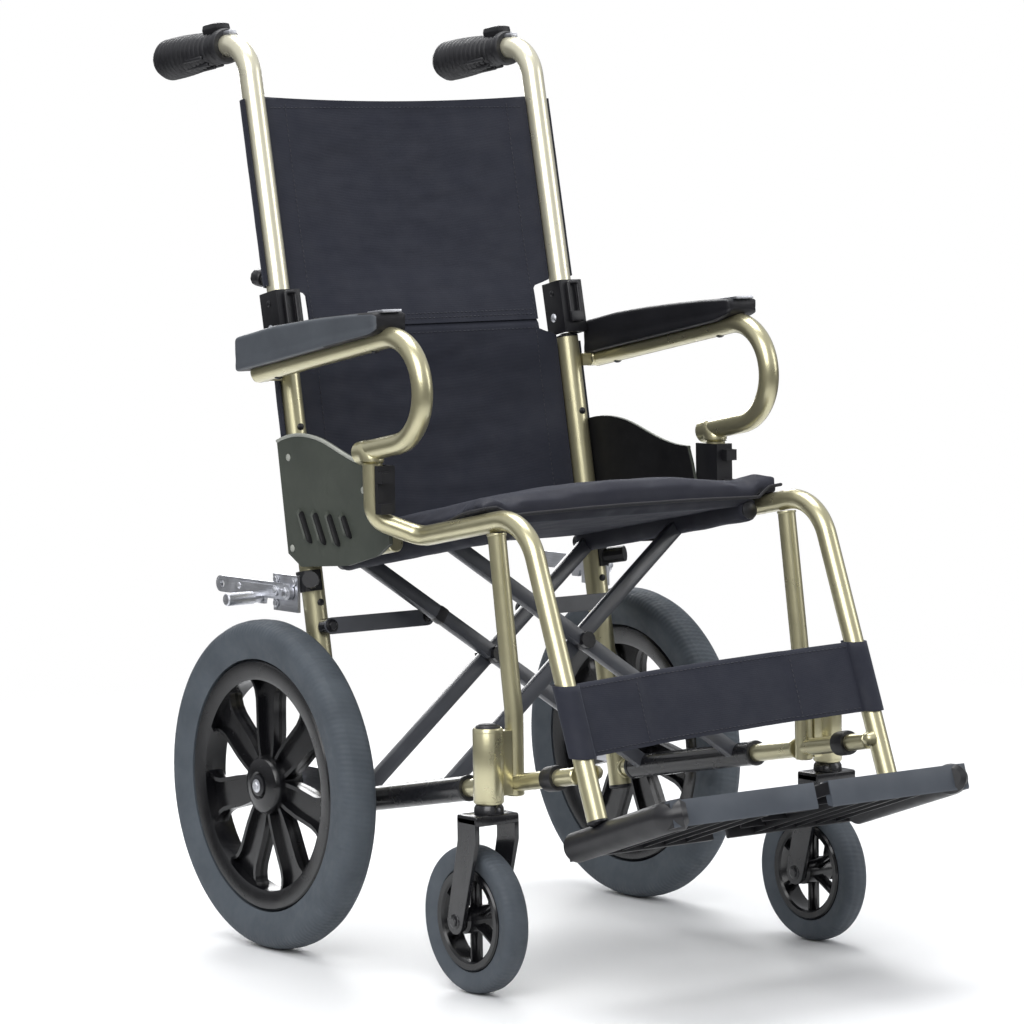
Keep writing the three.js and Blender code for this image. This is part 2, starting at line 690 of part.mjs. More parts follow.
for (const [side, name] of [[-1, 'right'], [1, 'left']]) {
  const x = side * FRAME_X;
  addPart(`rear_post_${name}`, rearPost(x), champagne);
  addPart(`side_tube_${name}`, sideTube(x, side * ARM_X), champagne);
  addPart(`rear_rail_${name}`, rearRail(x), champagne);
  addPart(`lower_rail_${name}`, lowerRail(x), champagne);
  addPart(`front_leg_${name}`, frontLeg(x), champagne);
  addPart(`caster_housing_${name}`, casterHousing(side), champagne);
  addPart(`side_guard_${name}`, sideGuard(side), guardPlastic);
  addPart(`arm_latch_${name}`, armLatch(side), blackPlastic);
  addPart(`arm_bracket_${name}`, armBracket(side), champagne);
  addPart(`back_hinge_${name}`, backHinge(side), blackPlastic);
  addPart(`back_latch_${name}`, backLatch(side), blackPlastic);
  addPart(`post_clamp_${name}`, postClamp(side), blackPlastic);
  addPart(`axle_bracket_${name}`, axleBracket(side), steel);
  addPart(`lock_bracket_${name}`, lockBracket(side), silver);
  addPart(`lock_lever_${name}`, lockLever(side), silver);
  addPart(`rear_tyre_${name}`, rearTyre(side), tyreRubber);
  addPart(`rear_rim_${name}`, rearRim(side), rimPlastic);
  addPart(`caster_fork_${name}`, casterFork(side), blackPaint);
  addPart(`caster_tyre_${name}`, casterTyre(side), tyreRubber);
  addPart(`caster_rim_${name}`, casterRim(side), rimPlastic);
  addPart(`arm_tube_${name}`, armTube(side), champagne);
  addPart(`arm_pad_${name}`, armPad(side), padFoam);
  addPart(`push_cane_${name}`, pushCane(side), champagne);
  addPart(`grip_${name}`, grip(side), gripRubber);
  addPart(`footplate_${name}`, footplate(side), blackPlastic);
  addPart(`stay_link_${name}`, stayLink(side), blackPaint, railGroup);
  addPart(`cross_brace_${name}`, crossBrace(side), blackPaint, railGroup);
}

addPart('brace_bolt_front', pivotBolt(BRACE_S[1]), steel, railGroup);
addPart('brace_bolt_rear', pivotBolt(BRACE_S[0]), steel, railGroup);
addPart('seat', seat(), nylon, railGroup);
addPart('back_upper', leaningPanel(caneY, BACK_HALF, 668, 905, 2, 6), nylon);
addPart('back_lower', leaningPanel(postY, BACK_HALF, 432, 662, 2, 6), nylon);
addPart('calf_strap', leaningPanel(hangerY, STRAP_HALF, 260, 328, -2, 4), nylon);

export default chair;
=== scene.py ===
import math

import bmesh
import bpy
from mathutils import Matrix, Vector, noise


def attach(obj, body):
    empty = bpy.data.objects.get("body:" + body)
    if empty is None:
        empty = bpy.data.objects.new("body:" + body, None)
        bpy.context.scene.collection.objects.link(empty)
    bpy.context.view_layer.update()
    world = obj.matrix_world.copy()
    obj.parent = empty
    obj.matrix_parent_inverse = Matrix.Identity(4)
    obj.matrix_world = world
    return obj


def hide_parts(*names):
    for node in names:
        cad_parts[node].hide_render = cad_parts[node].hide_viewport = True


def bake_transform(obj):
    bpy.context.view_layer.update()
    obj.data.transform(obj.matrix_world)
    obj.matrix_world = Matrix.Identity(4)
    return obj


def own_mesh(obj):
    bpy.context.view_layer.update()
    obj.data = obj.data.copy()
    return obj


# Looks of a folding transport wheelchair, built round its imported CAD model.
# Shapes are drawn in millimetres in the CAD's own frame and scaled as they are made.
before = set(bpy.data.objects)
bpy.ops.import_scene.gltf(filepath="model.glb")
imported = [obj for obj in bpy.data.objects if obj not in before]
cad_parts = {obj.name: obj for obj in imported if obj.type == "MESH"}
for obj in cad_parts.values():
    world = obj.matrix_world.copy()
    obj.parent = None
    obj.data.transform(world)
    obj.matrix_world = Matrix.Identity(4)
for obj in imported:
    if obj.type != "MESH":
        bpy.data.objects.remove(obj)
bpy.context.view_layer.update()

# ------------------------------------------------------------------ dimensions
# X is outward from the middle, Y rearward and Z up; R is a radius, and H a height square above
# the lower rail. The rails rise towards the front by PITCH.
PITCH = math.radians(10)
COS = math.cos(PITCH)
SIN = math.sin(PITCH)
SLOPE = math.tan(PITCH)
FRAME_X = 191
ARM_X = 229
RAIL_R = 10.5
POST_R = 12.5
LEG_R = 9.5
CANE_R = 12.4
ARM_R = 11
RAIL_Z0 = 448.3
LOWER_Z0 = 180
WHEEL_X = 246
WHEEL_Y = 172.5
WHEEL_R = 178
RIM_R = 136
CASTER_X = 224
CASTER_R = 76
CASTER_Y = -171
CASTER_RIM_R = 53
STEM_Y = -196
HINGE_Y = 218
HINGE_Z = 665
CANE_LEAN = 0.2
HANDLE_Z = 974
GRIP_START = 318
GRIP_LENGTH = 132
ARM_Z0 = 656.5
ARM_LOOP_R = 55
ARM_LOOP_Y = -43
ARM_PIVOT_Y = 210
HANGER_LEAN = 0.38
HANGER_END_Z = 191
PLATE_TILT = math.radians(18)
BRACE_H = 258
BRACE_TOP_X = 160
# The brace's two crossing bars, measured forward along the rails.
BRACE_S = (-85, 79)
LINK_H = 189
LINK_LENGTH = 125
# Where each rail meets the rear post, before its lean is counted.
RAIL_REAR_Y = 160
LOWER_REAR_Y = 120
LOCK_Y = 182
LOCK_Z = 383
# Front and rear ends, along the rails, of the brace's foot tube and of the tube under the seat.
FOOT_ENDS = (-118, 100)
HEAD_ENDS = (-195, 112)
# Where the stay link lies along the rails.
LINK_Y = 102
STRAP_LOW = 259
STRAP_HIGH = 329
STRAP_HALF = 178
STRAP_TILT = 0.036
SEAT_FRONT = -208
SEAT_LENGTH = 322
SEAT_HALF = 176
SEAT_UNDER = 274
SEAT_TOP = 282
BACK_TOP = 917
BACK_LOW = 434
# The back is cut in to this half width between these heights, to clear the hinges.
NOTCH_HALF = 154
NOTCH_LOW = 655
NOTCH_TOP = 701
GUARD_X = FRAME_X + POST_R + 0.7
SIDES = ((-1, "right"), (1, "left"))
# Half width of the back between the tubes.
PANEL_HALF = 177


def rail_z(y):
    return RAIL_Z0 - SLOPE * y


def lower_z(y):
    return LOWER_Z0 - SLOPE * y


def post_y(z):
    return 101 + SLOPE * z


def hanger_y(z):
    return -252 + HANGER_LEAN * (z - 405)


def cane_y(z):
    return HINGE_Y + CANE_LEAN * (z - HINGE_Z)


def arm_z(y):
    return ARM_Z0 - SLOPE * y


def from_rails(x, y, z):
    """A point given rearward along the rails and square above the lower rail."""
    return Vector((x, y * COS + z * SIN, LOWER_Z0 - y * SIN + z * COS))


def rearward(length):
    """A step of this length along the rails."""
    return from_rails(0, length, 0) - from_rails(0, 0, 0)


def share(value):
    """The value held between 0 and 1."""
    return min(1, max(0, value))


def eased(value):
    """The same, leaving 0 and reaching 1 gently."""
    t = share(value)
    return t * t * (3 - 2 * t)


# --------------------------------------------------------------- shape helpers
def bent_path(corners, radii, step=math.radians(5)):
    """Points through the corners, each inner corner rounded by its own radius."""
    corners = [Vector(c) for c in corners]
    points = [corners[0]]
    for i in range(1, len(corners) - 1):
        before = (corners[i] - corners[i - 1]).normalized()
        after = (corners[i + 1] - corners[i]).normalized()
        turn = before.angle(after)
        radius = radii[i - 1]
        start = corners[i] - before * (radius * math.tan(turn / 2))
        inward = (after - before * math.cos(turn)).normalized()
        centre = start + inward * radius
        count = max(2, math.ceil(turn / step))
        for k in range(count + 1):
            a = turn * k / count
            points.append(centre - inward * (radius * math.cos(a)) + before * (radius * math.sin(a)))
    points.append(corners[-1])
    return points


def line(start, end, steps=1):
    start, end = Vector(start), Vector(end)
    return [start.lerp(end, i / steps) for i in range(steps + 1)]


def ring_faces(sides, count):
    """Faces of a closed skin over rings of points that are listed one after the other."""
    faces = []
    for i in range(count - 1):
        for k in range(sides):
            a, b = i * sides + k, i * sides + (k + 1) % sides
            faces.append((a, b, b + sides, a + sides))
    return faces + [tuple(range(sides)), tuple(range((count - 1) * sides, count * sides))]


def tube(points, radius, sides=28, edge=1.2, flat=1.0):
    """A round bar along the points, its two ends slightly rounded off."""
    points = [Vector(p) for p in points]
    first = (points[1] - points[0]).normalized() * edge
    last = (points[-2] - points[-1]).normalized() * edge
    points = [points[0], points[0] + first, *points[1:-1], points[-1] + last, points[-1]]
    count = len(points)
    verts = []
    normal = None
    for i, p in enumerate(points):
        along = (points[min(i + 1, count - 1)] - points[max(i - 1, 0)]).normalized()
        normal = normal or (Vector((0, 0, 1)) if abs(along.z) < 0.9 else Vector((1, 0, 0)))
        normal = (normal - along * normal.dot(along)).normalized()
        across = along.cross(normal)
        r = radius - edge if i in (0, count - 1) else radius
        for k in range(sides):
            a = 2 * math.pi * k / sides
            verts.append(p + normal * (r * flat * math.cos(a)) + across * (r * math.sin(a)))
    return verts, ring_faces(sides, count)


def rod(start, end, radius, sides):
    return tube(line(start, end), radius, sides)


def lathe(profile, centre, axis, steps=48):
    """A profile of (radius, height) turned round the axis through centre."""
    axis = Vector(axis).normalized()
    u = axis.orthogonal().normalized()
    w = axis.cross(u)
    centre = Vector(centre)
    closed = profile[0] == profile[-1]
    rows = profile[:-1] if closed else profile
    verts, rings, faces = [], [], []
    for r, h in rows:
        if r < 1e-6:
            verts.append(centre + axis * h)
            rings.append([len(verts) - 1] * steps)
            continue
        rings.append(list(range(len(verts), len(verts) + steps)))
        for k in range(steps):
            a = 2 * math.pi * k / steps
            verts.append(centre + axis * h + u * (r * math.cos(a)) + w * (r * math.sin(a)))
    pairs = list(zip(rings, rings[1:])) + ([(rings[-1], rings[0])] if closed else [])
    for low, high in pairs:
        for k in range(steps):
            n = (k + 1) % steps
            face = []
            for v in (low[k], low[n], high[n], high[k]):
                if v not in face:
                    face.append(v)
            if len(face) > 2:
                faces.append(tuple(face))
    return verts, faces


def mirrored(half, middle=()):
    """A closed lathe section from its low half; middle holds points of its inner side."""
    return [*half, *((r, -h) for r, h in reversed(half)), *middle, half[0]]


def prism(outline, offset):
    """A flat outline of points given thickness by the offset."""
    outline = [Vector(p) for p in outline]
    offset = Vector(offset)
    n = len(outline)
    verts = outline + [p + offset for p in outline]
    faces = [tuple(range(n)), tuple(range(n, 2 * n))]
    faces += [(i, (i + 1) % n, (i + 1) % n + n, i + n) for i in range(n)]
    return verts, faces


def block(low, high, chamfer):
    """A box with every edge chamfered."""
    low, high = Vector(low), Vector(high)
    bm = bmesh.new()
    bmesh.ops.create_cube(bm, size=1)
    for v in bm.verts:
        v.co = (low + high) / 2 + Vector(c * s for c, s in zip(v.co, high - low))
    bmesh.ops.bevel(bm, geom=bm.edges, offset=chamfer, segments=2, affect="EDGES", profile=0.6)
    bm.verts.index_update()
    made = [v.co.copy() for v in bm.verts], [tuple(v.index for v in f.verts) for f in bm.faces]
    bm.free()
    return made


def side_block(side, x0, x1, y0, y1, z0, z1, chamfer):
    """A block on one side of the chair, its x values counted outward."""
    xs = sorted((side * x0, side * x1))
    return block((xs[0], y0, z0), (xs[1], y1, z1), chamfer)


def turned(shape, matrix):
    return [matrix @ v for v in shape[0]], shape[1]


def arc(centre, radius, start, end, steps):
    """Points of an arc in the Y-Z plane, angles in degrees, as (y, z)."""
    made = []
    for i in range(steps + 1):
        a = math.radians(start + (end - start) * i / steps)
        made.append((centre[0] + radius * math.cos(a), centre[1] + radius * math.sin(a)))
    return made


def hex_bolt(at, axis, size, height):
    """A hexagon head on a washer."""
    head = [(0, height), (size * 0.86, height), (size, height * 0.75), (size, 1.2), (0, 1.2)]
    washer = [(0, 0), (size * 1.45, 0), (size * 1.45, 1.0), (size * 1.3, 1.4), (0, 1.4)]
    return [lathe(head, at, axis, 6), lathe(washer, at, axis, 24)]


def dome_bolt(at, axis, size):
    """A low domed rivet or button-head bolt."""
    dome = [(0, 0.55), (0.45, 0.5), (0.8, 0.32)]
    rows = [(r * size, h * size) for r, h in dome]
    return lathe([*rows, (size, 0.6), (size, 0), (0, 0)], at, axis, 20)


def weld(centre, axis, radius, size=1.6):
    """A bead run round a joint between two tubes."""
    angles = [k * math.pi / 4 for k in range(8)]
    rows = [(radius + size * 0.8 * math.cos(a), size * math.sin(a)) for a in angles]
    return lathe([*rows, rows[0]], centre, axis, 32)


def make(name, shapes, finish, body, nodes=(), bevel=0.0, at=(0, 0, 0), angle=40):
    """One named piece made of several shapes, in its place, riding on its body."""
    origin = Vector(at)
    bm = bmesh.new()
    for shape in shapes:
        verts = [bm.verts.new((v - origin) * 0.001) for v in shape[0]]
        index = shape[2] if len(shape) > 2 else 0
        for face in shape[1]:
            made = bm.faces.new([verts[i] for i in face])
            made.material_index = index
            made.smooth = True
    bmesh.ops.recalc_face_normals(bm, faces=bm.faces)
    mesh = bpy.data.meshes.new(name)
    bm.to_mesh(mesh)
    bm.free()
    mesh.set_sharp_from_angle(angle=math.radians(angle))
    for item in finish if isinstance(finish, (list, tuple)) else [finish]:
        mesh.materials.append(item)
    piece = bpy.data.objects.new(name, mesh)
    piece.location = origin * 0.001
    bpy.context.scene.collection.objects.link(piece)
    if bevel:
        rounded(piece, bevel)
    if body:
        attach(piece, body)
    if nodes:
        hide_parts(*nodes)
    return piece


def rounded(piece, width):
    edge = piece.modifiers.new("edges", "BEVEL")
    edge.width = width * 0.001
    edge.segments = 2
    edge.limit_method = "ANGLE"
    edge.angle_limit = math.radians(35)


def subdivided(piece):
    smooth = piece.modifiers.new("smooth", "SUBSURF")
    smooth.levels = smooth.render_levels = 1
    return smooth


def tinted(shapes, index):
    return [(s[0], s[1], index) for s in shapes]


# ------------------------------------------------------------------- materials
def new_material(name, color, roughness, metallic=0.0, **inputs):
    """A Principled material; returns it with a helper that adds and links nodes."""
    item = bpy.data.materials.new(name)
    item.use_nodes = True
    tree = item.node_tree
    shader = tree.nodes["Principled BSDF"]
    shader.inputs["Base Color"].default_value = (*color, 1)
    shader.inputs["Roughness"].default_value = roughness
    shader.inputs["Metallic"].default_value = metallic
    for key, value in inputs.items():
        shader.inputs[key.replace("_", " ")].default_value = value
    return item, tree, shader


def add(tree, kind, links=None, **settings):
    """A node, its settings, and its inputs set to a number or to another node's output."""
    item = tree.nodes.new(kind)
    for key, value in settings.items():
        setattr(item, key, value)
    for key, value in (links or {}).items():
        socket = item.inputs[key]
        if isinstance(value, bpy.types.NodeSocket):
            tree.links.new(value, socket)
        else:
            socket.default_value = value
    return item


def mottled(tree, coords, scale, low, high, detail=3.0):
    """A soft noise spread between two values."""
    grain = add(tree, "ShaderNodeTexNoise", {"Vector": coords, "Scale": scale, "Detail": detail})
    limits = {"From Min": 0.3, "From Max": 0.7, "To Min": low, "To Max": high}
    spread = add(tree, "ShaderNodeMapRange", {"Value": grain.outputs["Fac"], **limits})
    return spread.outputs["Result"]


def between(tree, factor, first, second):
    """A colour part way between two."""
    mix = add(tree, "ShaderNodeMix", data_type="RGBA")
    tree.links.new(factor, mix.inputs["Factor"])
    mix.inputs["A"].default_value = (*first, 1)
    mix.inputs["B"].default_value = (*second, 1)
    return mix.outputs["Result"]


def arithmetic(tree, operation, *values):
    """The result of one sum on numbers or node outputs."""
    return add(tree, "ShaderNodeMath", dict(enumerate(values)), operation=operation).outputs[0]


def object_coords(tree):
    return add(tree, "ShaderNodeTexCoord").outputs["Object"]


def painted(tree, shader, tint, gloss):
    """Links a colour and a roughness to the shader."""
    tree.links.new(tint, shader.inputs["Base Color"])
    tree.links.new(gloss, shader.inputs["Roughness"])


def bands(tree, coords, pitch_mm, way):
    """Even stripes, one each pitch, across one direction."""
    scale = 2 * math.pi / (20 * pitch_mm * 0.001)
    return add(tree, "ShaderNodeTexWave", {"Vector": coords, "Scale": scale}, bands_direction=way)


def bumped(tree, shader, height, strength, distance):
    bump = add(tree, "ShaderNodeBump", {"Height": height, "Strength": strength, "Distance": distance})
    tree.links.new(bump.outputs["Normal"], shader.inputs["Normal"])


def grained(name, first, second, rough, grain, strength=0.25, distance=0.0002, metallic=0.0, **inputs):
    """Moulded or painted surface: blotchy colour, uneven gloss and a fine grain."""
    item, tree, shader = new_material(name, first, rough[0], metallic, **inputs)
    coords = object_coords(tree)
    tint = between(tree, mottled(tree, coords, 22, 0, 1), first, second)
    painted(tree, shader, tint, mottled(tree, coords, 60, *rough))
    fine = add(tree, "ShaderNodeTexNoise", {"Vector": coords, "Scale": grain, "Detail": 4.0})
    bumped(tree, shader, fine.outputs["Fac"], strength, distance)
    return item


def brushed(name, first, second, rough):
    """Plated steel with short drawn marks along Y."""
    item, tree, shader = new_material(name, first, rough[0], 1.0)
    coords = object_coords(tree)
    drawn = add(tree, "ShaderNodeMapping", {"Vector": coords, "Scale": (900, 60, 900)})
    marks = mottled(tree, drawn.outputs["Vector"], 1.0, 0, 1)
    painted(tree, shader, between(tree, marks, first, second), mottled(tree, coords, 90, *rough))
    bumped(tree, shader, marks, 0.15, 0.0002)
    return item


def woven(name, first, second, pitch_mm, tilt, strength):
    """Plain-weave nylon: crossing threads, faint streaks and a soft sheen."""
    item, tree, shader = new_material(name, first, 0.75, Sheen_Weight=0.1, Sheen_Roughness=0.4)
    shader.inputs["Specular IOR Level"].default_value = 0.35
    shader.inputs["Sheen Tint"].default_value = (0.5, 0.55, 0.7, 1)
    coords = object_coords(tree)
    square = add(tree, "ShaderNodeMapping", {"Vector": coords, "Rotation": (tilt, 0, 0)})
    vector = square.outputs["Vector"]
    threads = []
    for way in ("X", "Y", "Z"):
        wave = bands(tree, vector, pitch_mm, way)
        wave.inputs["Distortion"].default_value = 0.6
        threads.append(wave.outputs["Fac"])
    weave = arithmetic(tree, "ADD", arithmetic(tree, "ADD", *threads[:2]), threads[2])
    streak = add(tree, "ShaderNodeMapping", {"Vector": vector, "Scale": (30, 8, 160)})
    streaks = mottled(tree, streak.outputs["Vector"], 1.0, 0, 0.5)
    shade = arithmetic(tree, "ADD", streaks, mottled(tree, coords, 9, 0, 0.5))
    painted(tree, shader, between(tree, shade, first, second), mottled(tree, coords, 35, 0.62, 0.82))
    bumped(tree, shader, weave, strength, 0.0002)
    return item


def ribbed(name, first, second, pitch_mm):
    """Binding tape: close ribs across its length."""
    item, tree, shader = new_material(name, first, 0.8, Sheen_Weight=0.04)
    coords = object_coords(tree)
    tint = between(tree, mottled(tree, coords, 30, 0, 1), first, second)
    tree.links.new(tint, shader.inputs["Base Color"])
    bumped(tree, shader, bands(tree, coords, pitch_mm, "X").outputs["Fac"], 0.5, 0.0005)
    return item


def rubber_tyre(name, first, second, ribs, shoulder):
    """Grey tyre rubber with fine cross ribs on its tread. Its piece is centred on the axle."""
    item, tree, shader = new_material(name, first, 0.7)
    coords = object_coords(tree)
    split = add(tree, "ShaderNodeSeparateXYZ", {"Vector": coords}).outputs
    angle = arithmetic(tree, "ARCTAN2", split["Y"], split["Z"])
    slant = arithmetic(tree, "MULTIPLY", split["X"], 220.0)
    wave = arithmetic(tree, "SINE", arithmetic(tree, "MULTIPLY_ADD", angle, float(ribs), slant))
    out = add(tree, "ShaderNodeVectorMath", {0: coords, 1: (0, 1, 1)}, operation="MULTIPLY")
    radius = add(tree, "ShaderNodeVectorMath", {0: out.outputs["Vector"]}, operation="LENGTH")
    limits = {"From Min": shoulder - 0.004, "From Max": shoulder}
    on_tread = add(tree, "ShaderNodeMapRange", {"Value": radius.outputs["Value"], **limits})
    depth = arithmetic(tree, "MULTIPLY", wave, on_tread.outputs["Result"])
    dusty = mottled(tree, coords, 30, 0, 1, 6.0)
    painted(tree, shader, between(tree, dusty, first, second), mottled(tree, coords, 120, 0.6, 0.85))
    bumped(tree, shader, depth, 0.3, 0.0006)
    return item


# The frame's champagne is darkened below its own tone, painted shade for the lower tubes; the canes' lacquer
# is a lighter copy of it, a painted highlight.
CHAMPAGNE = grained("champagne_lacquer_painted_shade", (0.55, 0.515, 0.33), (0.505, 0.47, 0.295), (0.27, 0.32),
                    2600, 0.003, metallic=0.8, Coat_Weight=0.5, Coat_Roughness=0.14)
CANE_PAINTED_HIGHLIGHT = grained("cane_lacquer_painted_highlight", (0.82, 0.785, 0.61), (0.78, 0.745, 0.57), (0.27, 0.32), 2600, 0.003,
                       metallic=0.72, Coat_Weight=0.5, Coat_Roughness=0.14)
BLACK_PAINT = grained("black_paint", (0.005, 0.005, 0.006), (0.009, 0.009, 0.011), (0.2, 0.3), 2600, 0.03,
                      Coat_Weight=0.25, Coat_Roughness=0.12)
BRACE_PAINT = grained("brace_paint", (0.05, 0.053, 0.063), (0.066, 0.07, 0.082), (0.3, 0.42), 2600, 0.03,
                      Coat_Weight=0.3, Coat_Roughness=0.2)
STEEL = brushed("zinc_steel", (0.68, 0.69, 0.72), (0.56, 0.57, 0.61), (0.36, 0.48))
RIM = grained("rim_plastic", (0.003, 0.003, 0.004), (0.006, 0.006, 0.007), (0.18, 0.28), 2200, 0.06)
PLASTIC = grained("black_plastic", (0.006, 0.006, 0.008), (0.011, 0.011, 0.013), (0.34, 0.48), 1800, 0.2)
GUARD = grained("guard_plastic", (0.045, 0.052, 0.043), (0.058, 0.066, 0.054), (0.5, 0.62), 1600, 0.2)
GUARD_EDGE = grained("guard_edge", (0.3, 0.31, 0.28), (0.38, 0.39, 0.35), (0.5, 0.6), 1600, 0.2)
# Near-black for the guard's inner face and slot mouths: painted shade.
GUARD_SHADE = grained("guard_painted_shade", (0.005, 0.005, 0.006), (0.008, 0.008, 0.009), (0.5, 0.65), 1600, 0.2,
                     Specular_IOR_Level=0.25)
GRIP = grained("grip_rubber", (0.007, 0.007, 0.009), (0.013, 0.013, 0.016), (0.42, 0.6), 2200, 0.3)
PAD = grained("pad_foam", (0.007, 0.007, 0.009), (0.012, 0.012, 0.015), (0.44, 0.58), 1400, 0.3, 0.0003,
              Specular_IOR_Level=0.35)
# A lighter grey for the pad's outer side: painted highlight.
PAD_SIDE_HIGHLIGHT = grained("pad_side_painted_highlight", (0.062, 0.07, 0.082), (0.08, 0.09, 0.104), (0.4, 0.52), 1400, 0.3, 0.0003)
PLATE_LIP = grained("plate_lip", (0.046, 0.054, 0.068), (0.066, 0.076, 0.092), (0.38, 0.52), 1500, 0.25)
TYRE = rubber_tyre("tyre_rubber", (0.051, 0.062, 0.075), (0.074, 0.088, 0.104), 190, 0.168)
CASTER_TYRE = rubber_tyre("caster_rubber", (0.048, 0.058, 0.07), (0.07, 0.082, 0.097), 90, 0.0735)
NYLON = woven("nylon", (0.0148, 0.0165, 0.0268), (0.0172, 0.0192, 0.0308), 1.1, -PITCH, 0.2)
NYLON_SEAT = woven("nylon_seat", (0.015, 0.0158, 0.0245), (0.018, 0.019, 0.029), 1.1, PITCH, 0.2)
TAPE = ribbed("binding_tape", (0.007, 0.007, 0.01), (0.012, 0.012, 0.016), 1.6)
THREAD = grained("thread", (0.026, 0.027, 0.036), (0.04, 0.042, 0.053), (0.6, 0.7), 2000, 0.2)


# ----------------------------------------------------------------- side frames
def rear_post(side, name):
    x = side * FRAME_X
    foot, top = (x, post_y(138), 138), (x, post_y(644), 644)
    shapes = [rod(foot, top, POST_R, 36)]
    for z in (rail_z(RAIL_REAR_Y), lower_z(LOWER_REAR_Y)):
        shapes.append(weld((x, post_y(z) - 13, z), (0, -COS, SIN), RAIL_R - 0.4))
    plug = [(0, -3), (POST_R - 2, -3), (POST_R + 0.4, -1), (POST_R + 0.4, 1.5), (0, 1.5)]
    cap = [(0, 3.5), (POST_R - 3, 3), (POST_R, 0.6), (POST_R, -1), (0, -1)]
    for rows, end in ((plug, foot), (cap, top)):
        shapes += tinted([lathe(rows, end, (0, SIN, COS), 36)], 1)
    for z in (372, 430, 560):
        at = Vector((x, post_y(z) - POST_R + 0.4, z))
        shapes += tinted([dome_bolt(at, (0, -1, 0), 4.2)], 1)
    make(f"post_{name}", shapes, [CHAMPAGNE, PLASTIC], f"side_{name}", [f"rear_post_{name}"])


def side_tube(side, name):
    """The bent tube of one side: arm upright, seat rail and front hanger, with its end plug."""
    x = side * FRAME_X
    corners = [
        (side * ARM_X, -5, 532.5), (side * ARM_X, -7, 474), (x, -38, rail_z(-38)),
        (x, -221, rail_z(-221)), (x, hanger_y(HANGER_END_Z), HANGER_END_Z),
    ]
    shapes = [tube(bent_path(corners, (22, 26, 55)), RAIL_R, 32)]
    end = Vector(corners[-1])
    down = (end - Vector(corners[-2])).normalized()
    plug = [(0, 4), (RAIL_R - 3, 3.6), (RAIL_R, 1), (RAIL_R, -1), (0, -1)]
    shapes += tinted([lathe(plug, end, down, 32)], 1)
    stub_z = 237
    stub = (x - side * (RAIL_R - 1), hanger_y(stub_z), stub_z)
    rows = [(0, 9), (4, 8.5), (6.5, 6), (7.5, 2), (8.5, 0), (0, 0)]
    shapes.append(lathe(rows, stub, (-side, 0, 0), 24))
    make(f"side_tube_{name}_look", shapes, [CHAMPAGNE, PLASTIC], f"side_{name}",
         [f"side_tube_{name}"])


def straight_rails(side, name):
    x = side * FRAME_X
    rear = post_y(rail_z(RAIL_REAR_Y)) - POST_R - 1.3
    upper = [rod((x, rear, rail_z(rear)), (x, 10, rail_z(10)), RAIL_R, 32)]
    make(f"rear_rail_{name}_look", upper, CHAMPAGNE, f"side_{name}", [f"rear_rail_{name}"])
    front, rear = STEM_Y + LEG_R + 2.3, post_y(lower_z(LOWER_REAR_Y)) - POST_R - 2.3
    low = [rod((x, rear, lower_z(rear)), (x, front, lower_z(front)), LEG_R, 32),
           weld((x, front + 1, lower_z(front + 1)), (0, COS, -SIN), LEG_R - 0.3)]
    make(f"lower_rail_{name}_look", low, CHAMPAGNE, f"side_{name}", [f"lower_rail_{name}"])


def front_leg(side, name):
    """The leg above the caster, and its stay forward to the hanger with a black clamp."""
    x = side * FRAME_X
    top = Vector((x, -171, rail_z(-171) - RAIL_R - 2.5))
    leg = tube(bent_path([top, (x, STEM_Y, 285), (x, STEM_Y, 202)], (60,)), LEG_R, 32)
    end = hanger_y(lower_z(-316)) + RAIL_R + 4.3
    stay = rod((x, STEM_Y, lower_z(STEM_Y)), (x, end, lower_z(end)), LEG_R - 0.5, 28)
    shapes = [leg, stay, weld(top, (0, 0.12, 1), LEG_R - 0.2, 1.4)]
    middle = -262
    rows = mirrored([(LEG_R + 3, -9), (LEG_R + 3.6, -6)], [(LEG_R - 1, 9), (LEG_R - 1, -9)])
    clamp = lathe(rows, (x, middle, lower_z(middle)), (0, COS, -SIN), 28)
    make(f"front_leg_{name}_look", [*shapes, *tinted([clamp], 1)], [CHAMPAGNE, PLASTIC], f"side_{name}",
         [f"front_leg_{name}"])


def caster_housing(side, name):
    foot = (side * CASTER_X, STEM_Y, 197)
    barrel = [(9, 2), (9, 0), (14.2, 0), (15.5, 1.6), (15.5, 75), (14.2, 77), (0, 77)]
    cap = [(0, 81), (8, 80.6), (12, 79), (13, 77.2), (0, 77.2)]
    web = side_block(side, FRAME_X + LEG_R - 1, CASTER_X - 13, STEM_Y - 8, STEM_Y + 8, 204, 270, 1.2)
    shapes = [lathe(barrel, foot, (0, 0, 1), 40), web]
    shapes += [weld((side * CASTER_X, STEM_Y, z), (0, 0, 1), 14.6, 1.3) for z in (200, 270)]
    shapes += tinted([lathe(cap, foot, (0, 0, 1), 36)], 1)
    make(f"caster_housing_{name}_look", shapes, [CHAMPAGNE, PLASTIC], f"side_{name}",
         [f"caster_housing_{name}"])


def bezier(corners, steps):
    """Points along a Bezier curve, without its first."""
    made = []
    for i in range(1, steps + 1):
        points = [Vector(corner) for corner in corners]
        while len(points) > 1:
            points = [a.lerp(b, i / steps) for a, b in zip(points, points[1:])]
        made.append(tuple(points[0]))
    return made


def guard_outline():
    """The side guard's edge as (y, z) points, from its low rear corner round."""
    rear, shoulder, front = (209, 546), (123, 551), (14, 527)
    upper = [rear, *bezier([rear, (170, 561), shoulder], 8)]
    upper += bezier([shoulder, (90, 543), (60, 527), front], 12)
    lower = [(7, 508), (2, 490), (-2, 468), (-4, 446), (20, 432), (76, 418), (165, 411)]
    return [(190, 424), *upper, *lower]


